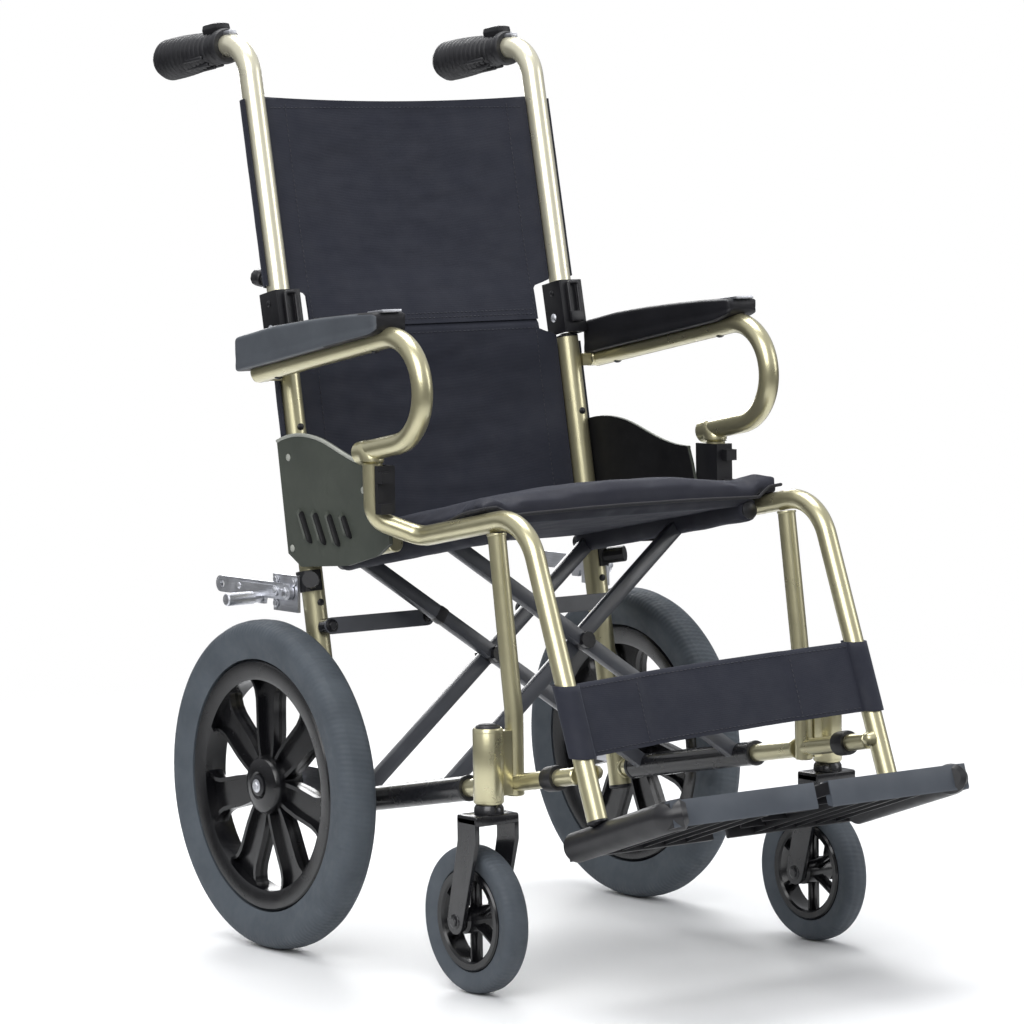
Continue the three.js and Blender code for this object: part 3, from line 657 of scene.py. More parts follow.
def side_guard(side, name):
    """Moulded guard: light upper rim, four slanted hooded slots, and near-black painted shade on the inner
    face and in the slots.
    """
    outline = guard_outline()
    panel = prism([(side * GUARD_X, y, z) for y, z in outline], (side * 4, 0, 0))
    # A thin near-black sheet on the inner face: painted shade.
    shade_sheet = prism([(side * (GUARD_X - 0.5), y, z) for y, z in outline], (side * 0.7, 0, 0))
    lip = [(side * (GUARD_X + 3.4), y, z - 1.6) for y, z in outline[1:22]]
    shapes = [panel, *tinted([tube(lip, 2.0, 10, 0.5)], 1), *tinted([shade_sheet], 2)]
    top = 474
    for i in range(4):
        y = 163 - 27 * i
        drop = 36 if i < 3 else 26
        face, mouth = side * (GUARD_X + 3.6), side * (GUARD_X + 4.6)
        hood = line((face, y + 3, top), (face, y + 3 - drop / 2, top - drop), 4)
        # Each slot mouth is near-black: painted shade in the recess.
        slot = line((mouth, y - 2, top - 3), (mouth, y - 2 - drop / 2, top - drop), 4)
        shapes += [tube(hood, 6.5, 16, 5, 0.4), *tinted([tube(slot, 5, 14, 3, 0.45)], 2)]
    for y, z in ((43, 500), (186, 528), (181, 430)):
        shapes += tinted([dome_bolt((side * (GUARD_X + 4), y, z), (side, 0, 0), 4)], 1)
    make(f"guard_{name}", shapes, [GUARD, GUARD_EDGE, GUARD_SHADE], f"side_{name}",
         [f"side_guard_{name}"], bevel=0.7)


# --------------------------------------------------------------------- armrest
def armrest(side, name):
    """The armrest's looped tube with its pivot, bolts and front boot, and the pad's steel clip."""
    x = side * ARM_X
    drop = 2 * ARM_LOOP_R
    front = ARM_LOOP_Y + ARM_LOOP_R * (SIN - COS)
    pivot = Vector((x, ARM_PIVOT_Y, arm_z(ARM_PIVOT_Y)))
    boss_end = pivot + Vector((side * 4, 0, 0))
    corners = [
        pivot, (x, front, arm_z(front)),
        (x, front - drop * SIN, arm_z(front) - drop * COS), (x, 14, arm_z(14) - drop / COS),
    ]
    boot = bent_path([(x, 17, 541), (x, -6, 545.5), (x, -5, 533.4)], (9,))
    shapes = [
        tube(bent_path(corners, (54.5, 54.5)), ARM_R, 32),
        rod(pivot - Vector((side * (ARM_R + 1.5), 0, 0)), boss_end, 10, 28),
        tube(boot, 12.5, 28, 2),
    ]
    for y in (-15, 170):
        at = Vector((x, y, arm_z(y) - ARM_R + 0.6))
        shapes += tinted([dome_bolt(at, (0, -SIN, -COS), 4.5)], 1)
    shapes += tinted(hex_bolt(boss_end, (side, 0, 0), 5, 3.4), 2)
    make(f"arm_tube_{name}_look", shapes, [CHAMPAGNE, PLASTIC, STEEL], f"armrest_{name}",
         [f"arm_tube_{name}"])
    clip_y = -30 if side < 0 else -42
    place = Matrix.Translation((x, clip_y, pad_top(clip_y) - 0.6)) @ Matrix.Rotation(-0.1, 4, "X")
    clip = turned(block((-12, -17, 0), (12, 12, 3), 0.8), place)
    make(f"arm_clip_{name}", [clip], STEEL, f"armrest_{name}")


def arm_pad(side, name):
    """A moulded foam pad: square-ended, gently crowned, with a parting groove along its sides; its outer
    side is a lighter grey, a painted highlight.
    """
    x = side * ARM_X
    front, rear = (-44, 228) if side < 0 else (-56, 210)
    end_share = 0.022
    ends = [0, 0.004, 0.012, end_share]
    stations = ends + [end_share + (1 - 2 * end_share) * i / 40 for i in range(1, 40)]
    stations += [1 - e for e in reversed(ends)]
    ring = 36
    verts = []
    for t in stations:
        y = front + (rear - front) * t
        inset = min(1, min(t, 1 - t) / end_share)
        soft = 7 * (1 - math.sqrt(max(0, 1 - (1 - inset) ** 2)))
        under = pad_under(y) + soft * 0.8
        top = pad_top(y) - soft
        for k in range(ring):
            a = 2 * math.pi * k / ring
            across, rise = squared(math.cos(a)), squared(math.sin(a))
            crown = 1.5 * (1 - across * across) if rise > 0.5 else 0
            groove = 0.9 * math.exp(-((rise + 0.25) / 0.1) ** 2) if abs(across) > 0.9 else 0
            ripple = 0.3 * noise.noise(Vector((x + across * 20, y, rise * 20)) * 0.02)
            height = (under + top) / 2 + rise * (top - under) / 2 + crown
            verts.append(Vector((x + across * (20.8 - soft - groove), y, height + ripple)))
    pad = make(f"pad_{name}", [(verts, ring_faces(ring, len(stations)))], [PAD, PAD_SIDE_HIGHLIGHT],
               f"armrest_{name}", [f"arm_pad_{name}"], angle=60)
    # Faces turned outward take the lighter grey: painted highlight.
    for polygon in pad.data.polygons:
        if polygon.normal.x * side > 0.6:
            polygon.material_index = 1
    subdivided(pad)


def squared(value):
    """A sine or cosine pushed outward, so that a round section becomes nearly square."""
    return min(1, abs(value) * 1.35) ** 0.8 * math.copysign(1, value)


def pad_under(y):
    """Height of the arm pad's skirt, which hides the upper part of the tube."""
    return arm_z(y) + 3.5 if y > -30 else arm_z(-30) + 3.5 + (-30 - y) * 0.35


def pad_top(y):
    """Height of the arm pad's top along the chair."""
    if y > 150:
        return 671.5 - (y - 150) * 0.185
    return 689.5 - 18 * max(0, (y + 60) / 210) ** 1.5


# -------------------------------------------------------------- back structure
def push_cane(side, name):
    """The bent push cane, with the small stopper and button in front of its grip."""
    x = side * FRAME_X
    foot, rise = HINGE_Z - 7, HANDLE_Z + 4
    corners = [(x, cane_y(foot), foot), (x, cane_y(rise), rise), (x, GRIP_START + 80, HANDLE_Z - 8.5)]
    shapes = [tube(bent_path(corners, (42,)), CANE_R, 32)]
    tilt = Matrix.Rotation(-0.09, 4, "X")
    stopper = Matrix.Translation((x, 343, grip_z() + 15)) @ tilt
    button = Matrix.Translation((x, GRIP_START - 2, grip_z() + CANE_R)) @ tilt
    shapes += tinted([turned(block((-10, -18, -3), (10, 15, 10), 6), stopper)], 1)
    shapes += tinted([turned(block((-5, -9, -2), (5, 7, 4), 2), button)], 2)
    # The cane takes the lighter copy of the champagne: painted highlight.
    make(f"cane_{name}", shapes, [CANE_PAINTED_HIGHLIGHT, PLASTIC, STEEL], f"cane_{name}",
         [f"push_cane_{name}"])


def grip_z():
    """Height of the cane where the grip starts."""
    start = Vector((0, cane_y(HANDLE_Z + 4), HANDLE_Z + 4))
    end = Vector((0, GRIP_START + 70, HANDLE_Z - 7))
    return start.z + (end.z - start.z) * (GRIP_START - start.y) / (end.y - start.y)


def grip(side, name):
    """Ridged rubber grip with a flared collar, fatter towards its rear end."""
    start = Vector((side * FRAME_X, GRIP_START, grip_z()))
    bore = CANE_R + 0.3
    rows = [(bore, 1), (bore, 0), (18, 0), (19.6, 2), (19.8, 8), (18, 11), (17, 14)]
    for ridge in range(13):
        h = 18.0 + 8 * ridge
        swell = 17.2 + 6 * math.sin(min(1, (h - 14) / 98) * math.pi * 0.55)
        rows += [(swell - 0.9, h), (swell, h + 1.6), (swell, h + 5.4), (swell - 0.9, h + 7)]
    rows += [(22, 122), (19.6, 127), (15, GRIP_LENGTH - 2), (9, GRIP_LENGTH), (0, GRIP_LENGTH)]
    droop = math.atan2(11, 70 + GRIP_START - cane_y(HANDLE_Z))
    axis = Vector((0, math.cos(droop), -math.sin(droop)))
    u = Vector((1, 0, 0))
    w = axis.cross(u)
    shapes = [lathe(rows, start, axis, 48)]
    for k in range(5):
        a = math.radians(-60 + 30 * k) + math.pi
        base = start + (u * math.sin(a) - w * math.cos(a)) * 19.6
        shapes.append(tube(line(base + axis * 28, base + axis * 112, 2), 2.4, 10, 1.5))
    make(f"grip_{name}_look", shapes, GRIP, f"cane_{name}", [f"grip_{name}"], angle=50)


def hinge_place(side):
    """The frame of the hinge: its origin on the pivot, its Z along the cane."""
    lean = Matrix.Rotation(-math.atan(CANE_LEAN), 4, "X")
    return Matrix.Translation((side * FRAME_X, HINGE_Y, HINGE_Z)) @ lean


def back_hinge(side, name):
    """Moulded hinge housing with its pivot bolt, and a clamping knob behind."""
    place = hinge_place(side)
    middle = CANE_R + 1.9
    low, high = -19, 41
    shapes = [turned(block((s * middle - 1.4, -19, low), (s * middle + 1.4, 15, high), 1.1), place)
              for s in (-1, 1)]
    shapes.append(turned(block((-middle - 1.2, -19, low), (middle + 1.2, -14.8, high), 1.2), place))
    for s in (-1, 1):
        cheek = s * (middle + 1.3)
        shapes += tinted([dome_bolt(place @ Vector((cheek, 0, 0)), (s, 0, 0), 5)], 1)
        shapes.append(dome_bolt(place @ Vector((cheek, -2, 28)), (s, 0, 0), 3.6))
    make(f"hinge_{name}", shapes, [PLASTIC, STEEL], f"side_{name}", [f"back_hinge_{name}"])
    hinge_knob(side, name)


def hinge_knob(side, name):
    """A clamping knob: above the hinge on the right cane, below it on the left post."""
    knob = [(0, 22), (7, 21.5), (9.5, 18), (9.8, 8), (8, 5), (4.5, 4), (4.5, -6), (0, -6)]
    x = side * (FRAME_X + 2)
    if side < 0:
        z = HINGE_Z + 54
        at, body = Vector((x, cane_y(z) + CANE_R + 5, z)), "cane_right"
    else:
        z = HINGE_Z - 33
        at, body = Vector((x, post_y(z) + POST_R + 5, z)), "side_left"
    make(f"hinge_knob_{name}", [lathe(knob, at, (0, 1, 0.1), 10)], PLASTIC, body,
         bevel=0.8)


def back_latch(side, name):
    """The sprung loop behind the hinge, and the bar it turns on."""
    corners = [(0, -6), (6.5, -6), (6.5, 37), (-6.5, 37), (-6.5, -6), (0, -6)]
    loop = tube(bent_path([(x, -22.6, z) for x, z in corners], (3, 3, 3, 3)), 2.3, 12, 0.3)
    bar = block((-8.5, -25, -8), (8.5, -20.4, 4), 1.4)
    shapes = [turned(shape, hinge_place(side)) for shape in (loop, bar)]
    make(f"latch_{name}", shapes, PLASTIC, f"latch_{name}", [f"back_latch_{name}"])


# ---------------------------------------------------------------------- wheels
def tyre_rows(inner, outer, half, tread, lines):
    """A tyre's section: rounded side walls and a flatter tread with grooves."""
    rows = []
    middle = (inner + outer) / 2 + 2
    for i in range(25):
        a = math.pi * (-0.5 + i / 24)
        r = middle + (outer - middle) * abs(math.cos(a)) ** 0.72
        x = half * abs(math.sin(a)) ** 0.86 * math.copysign(1, math.sin(a))
        for at in lines:
            r -= tread * math.exp(-((x - at) / 1.1) ** 2)
        rows.append((r, x))
    bead = inner + 0.6
    return [*rows, (bead, half * 0.72), (bead, -half * 0.72), rows[0]]


def rear_wheel(side, name):
    centre = Vector((side * WHEEL_X, WHEEL_Y, WHEEL_R))
    axis = Vector((side, 0, 0))
    rows = tyre_rows(RIM_R, WHEEL_R, 21.6, 1.2, (-13, -6.5, 0, 6.5, 13))
    make(f"tyre_{name}", [lathe(rows, centre, axis, 160)], TYRE, f"rear_wheel_{name}",
         [f"rear_tyre_{name}"], at=centre, angle=60)
    ring = mirrored([(114, -13), (118, -15), (133, -15.5), (135.6, -13)], [(115.5, 4), (115.5, -4)])
    hub = [(7.6, -23.5), (24, -23.5), (31, -20), (32, -14), (32, 9), (29, 14), (22, 17), (15, 18),
           (12, 15.5), (7.6, 15.5), (7.6, -23.5)]
    shapes = [lathe(ring, centre, axis, 112), lathe(hub, centre, axis, 56)]
    spokes = 7
    for i in range(spokes):
        turn = Matrix.Translation(centre) @ Matrix.Rotation(2 * math.pi * i / spokes, 4, "X")
        shapes += [turned(shape, turn) for shape in spoke(side)]
        a = 2 * math.pi * (i + 0.5) / spokes
        knot = centre + Vector((side * 13.5, 26 * math.cos(a), 26 * math.sin(a)))
        shapes.append(dome_bolt(knot, axis, 3))
    outer = centre + axis * 15.4
    cap = [(0, 5), (9, 4.6), (11.4, 3), (11.6, 0), (0, 0)]
    shapes += tinted([lathe(cap, outer, axis, 32)], 1)
    shapes += tinted(hex_bolt(outer + axis * 4, axis, 5, 3.2), 2)
    make(f"rim_{name}", shapes, [RIM, PLASTIC, STEEL], f"rear_wheel_{name}", [f"rear_rim_{name}"],
         at=centre, angle=35)


def spoke(side):
    """One broad spoke about the wheel's centre: a thin web between two tall ribs."""
    edge = [(29, 13), (42, 15.5), (60, 17.2), (78, 17.4), (92, 17.8), (101, 20), (107, 23.5),
            (111, 28), (115, 35)]
    web = [(side * -3, h, r) for r, h in edge] + [(side * -3, -h, r) for r, h in reversed(edge)]
    shapes = [prism(web, (side * 4, 0, 0))]
    for s in (-1, 1):
        outer = [(side * -8.5, s * h, r) for r, h in edge]
        inner = [(side * -8.5, s * (h - 4.4), r) for r, h in reversed(edge)]
        shapes.append(prism(outer + inner, (side * 16, 0, 0)))
    return shapes


def caster(side, name):
    centre = Vector((side * CASTER_X, CASTER_Y, CASTER_R))
    rows = tyre_rows(CASTER_RIM_R, CASTER_R, 14.2, 0.7, (-5, 5))
    make(f"caster_tyre_{name}_look", [lathe(rows, centre, (1, 0, 0), 112)], CASTER_TYRE,
         f"front_wheel_{name}", [f"caster_tyre_{name}"], at=centre, angle=60)
    ring = mirrored([(43, -10), (45, -12), (51, -12.4), (52.6, -10.5)], [(44.5, 0)])
    hub = mirrored([(5.6, -18.6), (11, -18.6), (13.6, -16), (14, -8)])
    shapes = [lathe(ring, centre, (1, 0, 0), 80), lathe(hub, centre, (1, 0, 0), 40)]
    edge = [(5, 11), (3.2, 22), (3.6, 34), (6.5, 45)]
    web = prism([(-1.5, h, r) for h, r in edge + [(-h, r) for h, r in reversed(edge)]], (3, 0, 0))
    rib = block((-7, -1.5, 11), (7, 1.5, 45), 0.8)
    for i in range(6):
        turn = Matrix.Translation(centre) @ Matrix.Rotation(math.pi * i / 3, 4, "X")
        shapes += [turned(web, turn), turned(rib, turn)]
    make(f"caster_rim_{name}_look", shapes, RIM, f"front_wheel_{name}", [f"caster_rim_{name}"],
         at=centre, angle=35)


def caster_fork(side, name):
    """A stem, a crown and two arms down to the caster's axle."""
    x = side * CASTER_X
    crown = [(0, 196.4), (13, 196.4), (15, 193), (15.4, 187), (0, 187)]
    shapes = [
        rod((x, STEM_Y, 184), (x, STEM_Y, 257), 8, 24),
        block((x - 27, STEM_Y - 15, 176.6), (x + 27, STEM_Y + 19, 187), 2.4),
        lathe(crown, (x, STEM_Y, 0), (0, 0, 1), 36),
    ]
    outline = [(STEM_Y - 14, 184), (STEM_Y - 14, 160), *arc((CASTER_Y, CASTER_R), 13, 200, 380, 14),
               (STEM_Y + 18, 160), (STEM_Y + 18, 184)]
    for s in (-1, 1):
        shapes.append(prism([(x + s * 22, y, z) for y, z in outline], (s * 5, 0, 0)))
        shapes += hex_bolt((x + s * 26.6, CASTER_Y, CASTER_R), (s, 0, 0), 5.4, 3.6)
    shapes += tinted([rod((x - 25, CASTER_Y, CASTER_R), (x + 25, CASTER_Y, CASTER_R), 5, 20)], 1)
    make(f"fork_{name}", shapes, [BLACK_PAINT, STEEL], f"fork_{name}", [f"caster_fork_{name}"],
         bevel=0.9)


# ------------------------------------------------------------------- footrests
def footplate(side, name):
    """Moulded tray: ribbed tread on top, a grey front lip and a grid of ribs below."""
    place = Matrix.Translation((0, -363.5, 197)) @ Matrix.Rotation(-PLATE_TILT, 4, "X")
    inner, outer, half, deep = 9, 191.5, 89, 26
    section = [(inner, -1), (inner + 1.2, 0), (outer - 2, 0), (outer, -2), (outer, -deep),
               (outer - 5, -deep), (outer - 5, -8), (inner + 5, -8), (inner + 5, -13), (inner, -13)]
    shapes = [prism([(side * x, -half + 1, z) for x, z in section], (0, 2 * half - 2, 0))]
    for i in range(13):
        x = inner + 14 + i * (outer - inner - 28) / 12
        shapes.append(side_block(side, x - 1.6, x + 1.6, 10 - half, half - 14, -1, 0.9, 0.6))
    for i in range(7):
        x = inner + 8 + i * (outer - inner - 16) / 6
        depth = 12 if i == 0 else deep - 4
        shapes.append(side_block(side, x - 1.4, x + 1.4, 3 - half, half - 3, -depth, -7, 0.5))
    for y in (-52, -12, 28, 64):
        shapes.append(side_block(side, inner + 3, outer - 3, y - 1.4, y + 1.4, -deep + 8, -7, 0.5))
    edge = -half - 0.2
    front = [(edge, 0.4), (6 - half, 0.8), (9 - half, -1), (8 - half, 3 - deep), (1 - half, -deep),
             (edge, 2 - deep)]
    lip = prism([(side * (inner + 0.5), y, z) for y, z in front], (side * (outer - inner - 1), 0, 0))
    rear = side_block(side, inner + 1, outer - 1, half - 6, half, -deep + 2, 0, 1.5)
    shapes += tinted([lip], 1) + [rear]
    rod_z = -13
    bumper = [(side * 184, half - 2, rod_z), (side * 184, 14 - half, rod_z), (side * 170, 3 - half, rod_z)]
    shapes.append(tube(bent_path(bumper, (12,)), 16.5, 28, 5, 0.94))
    barrel = rod((side * 165, 4 - half, rod_z), (side * 165, half - 4, rod_z), 6, 20)
    shapes += tinted([barrel], 2)
    shapes = [(*turned(s, place), s[2] if len(s) > 2 else 0) for s in shapes]
    make(f"footplate_{name}_look", shapes, [PLASTIC, PLATE_LIP, BLACK_PAINT], f"plate_{name}",
         [f"footplate_{name}"], bevel=0.5)


# --------------------------------------------------------------- folding brace
def brace(side, name):
    """One half of the folding brace: a foot tube, the tube under the seat, and two crossing bars."""
    foot_x, head_x = side * FRAME_X, -side * BRACE_TOP_X
    feet = [from_rails(foot_x, y, 0) for y in FOOT_ENDS]
    heads = [from_rails(head_x, y, BRACE_H) for y in HEAD_ENDS]
    shapes = [rod(*feet, 13, 32), rod(*heads, 9.5, 28)]
    length = Vector((head_x - foot_x, 0, BRACE_H)).length
    square = Matrix.Translation(from_rails(0, 0, 0)) @ Matrix.Rotation(-PITCH, 4, "X")
    lean = Matrix.Rotation(-math.atan2(BRACE_H, head_x - foot_x), 4, "Y")
    for s in BRACE_S:
        place = square @ Matrix.Translation((foot_x, -s - side * 7, 0)) @ lean
        shapes += tinted([turned(block((5, -6, -8.5), (length - 4, 6, 8.5), 3.6), place)], 2)
        bands_at = [FRAME_X / (FRAME_X + BRACE_TOP_X)]
        if s == BRACE_S[0]:
            bands_at.append(LINK_H / BRACE_H)
        for at in bands_at:
            at *= length
            shapes += tinted([turned(block((at - 7, -6.7, -9.2), (at + 7, 6.7, 9.2), 3.8), place)], 1)
    collar = [(10.2, -1), (13.6, -1), (13.9, 1), (13.6, 3), (10.2, 3), (10.2, -1)]
    cap = [(0, 3), (6, 2.6), (9.6, 0.4), (9.6, -4), (0, -4)]
    shapes += tinted([lathe(collar, end, rearward(1), 28) for end in feet], 1)
    shapes += tinted([lathe(cap, end, rearward(1) * s, 24) for s, end in zip((-1, 1), heads)], 1)
    make(f"brace_{name}", shapes, [BLACK_PAINT, PLASTIC, BRACE_PAINT], f"brace_{name}",
         [f"cross_brace_{name}"])


def stay_link(side, name):
    """A flat link with round ends, bolted to the post and to the brace."""
    ends = (side * FRAME_X, side * (FRAME_X - LINK_LENGTH))
    outline = []
    for end, start in zip(ends, (-0.5, 0.5)):
        for k in range(11):
            a = math.pi * (start + k / 10)
            outline.append((end + side * 9 * math.cos(a), LINK_Y, LINK_H + 9 * math.sin(a)))
    plate = prism([from_rails(*p) for p in outline], rearward(6))
    boss = rod(from_rails(ends[0], LINK_Y, LINK_H), from_rails(ends[0], 117, LINK_H), 9, 24)
    shapes = [*tinted([plate], 1), boss]
    for end, size, height in zip(ends, (5, 4), (3.4, 2.4)):
        shapes += hex_bolt(from_rails(end, LINK_Y, LINK_H), -rearward(1), size, height)
    make(f"link_{name}", shapes, [BLACK_PAINT, BRACE_PAINT], f"link_{name}", [f"stay_link_{name}"],
         bevel=0.7)


# ------------------------------------------------------------------ wheel lock
def wheel_lock(side, name):
    """Bolts on the CAD bracket, and the strut, pins and grip sleeve of the CAD lever."""
    bracket_x = side * (FRAME_X + POST_R + 8.4)
    shapes = []
    for y, z in ((28, -14), (-7, 11), (27, 12)):
        shapes += hex_bolt((bracket_x, LOCK_Y + y, LOCK_Z + z), (side, 0, 0), 3.6, 2.4)
    shapes += hex_bolt((side * (FRAME_X + POST_R + 13.2), LOCK_Y, LOCK_Z), (side, 0, 0), 6, 4)
    make(f"lock_bolts_{name}", shapes, STEEL, f"side_{name}")
    lever_x = side * (FRAME_X + POST_R + 13)
    near, far = LOCK_Y + 22, LOCK_Y + 92
    outline = [*arc((near, LOCK_Z), 6, 90, 270, 8), *arc((far, LOCK_Z - 3), 9, -90, 90, 8)]
    strut = prism([(lever_x, y, z) for y, z in outline], (side * 2.2, 0, 0))
    pins = [dome_bolt((lever_x + side * 2, y, LOCK_Z + 1), (side, 0, 0), 3.8) for y in (near, far)]
    sleeve_y, sleeve_z = LOCK_Y + 52, LOCK_Z - 9
    sleeve_bar = rod((side * 226, sleeve_y, sleeve_z), (side * 261.5, sleeve_y, sleeve_z), 7, 24)
    make(f"lock_strut_{name}", [strut, *pins, sleeve_bar], STEEL, f"lock_{name}", bevel=0.5)


# ------------------------------------------------------------------ soft goods
def wrinkle(point, size, depth, seed):
    """Smooth, repeatable unevenness of cloth at a point, in millimetres."""
    at = Vector((point[0] / size[0], point[1] / size[1], seed))
    return depth * (noise.noise(at) + 0.4 * noise.noise(at * 2.3))


def grid_faces(columns, rows, offset=0):
    """Quads of a grid whose points are listed row by row."""
    made = []
    for i in range(rows - 1):
        for k in range(columns - 1):
            a = offset + i * columns + k
            made.append((a, a + 1, a + 1 + columns, a + columns))
    return made


def closed_grid(columns, rows):
    """Faces of two grids of points, listed one after the other, joined round their rim."""
    count = columns * rows
    faces = grid_faces(columns, rows)
    faces += [tuple(reversed(face)) for face in grid_faces(columns, rows, count)]
    rim = list(range(columns))
    rim += [i * columns + columns - 1 for i in range(1, rows)]
    rim += [(rows - 1) * columns + k for k in range(columns - 2, -1, -1)]
    rim += [i * columns for i in range(rows - 2, 0, -1)]
    return faces + [(a, b, b + count, a + count) for a, b in zip(rim, rim[1:] + rim[:1])]


def cloth_piece(name, front, columns, rows, thickness, body, node):
    """A sheet with a skin behind its grid of front points, riding a body."""
    back = [p + Vector((0, thickness, 0)) for p in front]
    piece = make(name, [(front + back, closed_grid(columns, rows))], NYLON, body, [node], angle=80)
    narrows(piece)
    return piece


def narrows(piece):
    """Gives the piece its own copy of its mesh."""
    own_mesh(piece)


def stitches(points):
    """Separate short threads laid end to end along a line."""
    length, gap, radius = 3.4, 2.2, 0.42
    shapes = []
    points = [Vector(p) for p in points]
    lengths = [0.0]
    for a, b in zip(points, points[1:]):
        lengths.append(lengths[-1] + (b - a).length)

    def at(distance):
        for i in range(len(points) - 1):
            if distance <= lengths[i + 1]:
                span = lengths[i + 1] - lengths[i]
                return points[i].lerp(points[i + 1], (distance - lengths[i]) / max(span, 1e-6))
        return points[-1]

    s = gap
    while s + length < lengths[-1]:
        shapes.append(tube([at(s), at(s + length / 2), at(s + length)], radius, 6, 0.3))
        s += length + gap
    return shapes


def seam(route, steps, lift):
    """Stitches along a route, a function of a share from 0 to 1, lifted just clear of the cloth."""
    return stitches([route(i / steps) + Vector(lift) for i in range(steps + 1)])


def back_surface(line_y, x, z, low, high, sag, seed):
    """A point of a back panel's front face, bellied rearward between the tubes."""
    across = 1 - (x / 181) ** 2
    up = 4 * (z - low) * (high - z) / (high - low) ** 2
    from_hinge = abs(z - HINGE_Z)
    belly = sag * across * 0.5 * (1 + up) * min(1, from_hinge / 60)
    loose = wrinkle((x, z), (70, 26), 1.2 * across + 0.2, seed) * min(1, from_hinge / 25)
    tucked = 3.8 * share((z - high + 9) / 6) if high < 700 else 0
    return Vector((x, line_y(z) + 1 + belly + loose + tucked, z))


def panel_half(z):
    """Half width of the back: narrower beside the hinges, with rounded corners."""
    outside = max(eased((z - NOTCH_TOP) / 9), eased((NOTCH_LOW - z) / 9))
    return NOTCH_HALF + (PANEL_HALF - NOTCH_HALF) * outside


def back_panel(name, line_y, low, high, sag, seed, body, node, dip):
    """One panel of the backrest, cut in beside the hinges where the two meet."""
    columns, rows = 73, 81
    front = []
    for i in range(rows):
        for k in range(columns):
            u = -1 + 2 * k / (columns - 1)
            top = high - dip * (1 - u * u)
            z = low + (top - low) * i / (rows - 1)
            front.append(back_surface(line_y, u * panel_half(z), z, low, high, sag, seed))
    panel = cloth_piece(name, front, columns, rows, 3.2, body, node)


def back_seams(name, line_y, low, high, sag, seed, body, columns, levels):
    """Lines of stitching up and across a back panel."""
    shapes = []

    def on_panel(x, z):
        return back_surface(line_y, x, z, low, high, sag, seed)

    for x in columns:
        shapes += seam(lambda t: on_panel(x, low + 3 + (high - low - 10) * t), 30, (0, -0.3, 0))
    for z in levels:
        half = panel_half(z) - 4
        shapes += seam(lambda t: on_panel(half * (2 * t - 1), z), 60, (0, -0.3, 0))
    narrows(make(name, shapes, THREAD, body))


def sleeve(name, side, line_y, low, high, radius, body):
    """The edge of a back panel sewn round its tube, open where the hinge sits."""
    rows, columns = 41, 27
    turn = 1.02 * math.pi
    thickness = 1.8
    across = Vector((1, 0, 0))
    back = Vector((0, line_y(high) - line_y(low), high - low)).normalized().cross(across)
    inner, outer = [], []
    for i in range(rows):
        z = low + (high - low) * i / (rows - 1)
        centre = Vector((side * FRAME_X, line_y(z), z))
        loose = 0.8 * noise.noise(Vector((z * 0.03, side * 3.0, 0)))
        for k in range(columns):
            a = 0.06 * math.pi + turn * k / (columns - 1)
            r = radius + 1.6 + loose * math.sin(a)
            out = across * (-side * math.cos(a)) * r + back * math.sin(a) * r
            inner.append(centre + out)
            outer.append(centre + out + out.normalized() * thickness)
    piece = make(name, [(inner + outer, closed_grid(columns, rows))], NYLON, body, angle=80)


def backrest():
    upper = (cane_y, HINGE_Z, BACK_TOP, 9, 1.7)
    lower = (post_y, BACK_LOW, HINGE_Z + 4, 7, 4.2)
    back_panel("back_upper_look", *upper, "cane_right", "back_upper", 5)
    back_panel("back_lower_look", *lower, "side_right", "back_lower", 0)
    back_seams("back_upper_seams", *upper, "cane_right", (-150, 150), (671, 676, BACK_TOP - 12))
    back_seams("back_lower_seams", *lower, "side_right", (-150, 150), (NOTCH_LOW,))
    for side, name in SIDES:
        sleeve(f"back_sleeve_{name}", side, cane_y, NOTCH_TOP + 11, BACK_TOP - 3, CANE_R, f"cane_{name}")
        sleeve(f"back_sleeve_low_{name}", side, post_y, BACK_LOW + 18, NOTCH_LOW - 17, POST_R,
               f"side_{name}")


# The seat rests on the two upper tubes of the brace, and its edges reach out over the side rails.
def seat_point(u, v, top):
    """A point of the seat: u across from -1 to 1, v rearward from 0 to 1, upper or lower face."""
    y = SEAT_FRONT + SEAT_LENGTH * v
    flare = eased((-y - 100) / 85)
    x = (SEAT_HALF + 20 * flare) * u
    inside = share((SEAT_HALF + 2 - abs(x)) / 14)
    front = (1 - v) ** 7
    if not top:
        return from_rails(x, y, SEAT_UNDER + 2.5 * flare - (4 + 6 * front) * inside)
    tip = flare * max(0, (abs(u) - 0.8) / 0.2) ** 2 * (16 if u > 0 else 4)
    crown = SEAT_TOP + 19 * (1 - u * u) ** 0.7 - 4 * v
    ripple = wrinkle((x, y), (46, 60), 1.6, 8.5)
    return from_rails(x, y, crown + ripple + tip - 10 * front * inside)


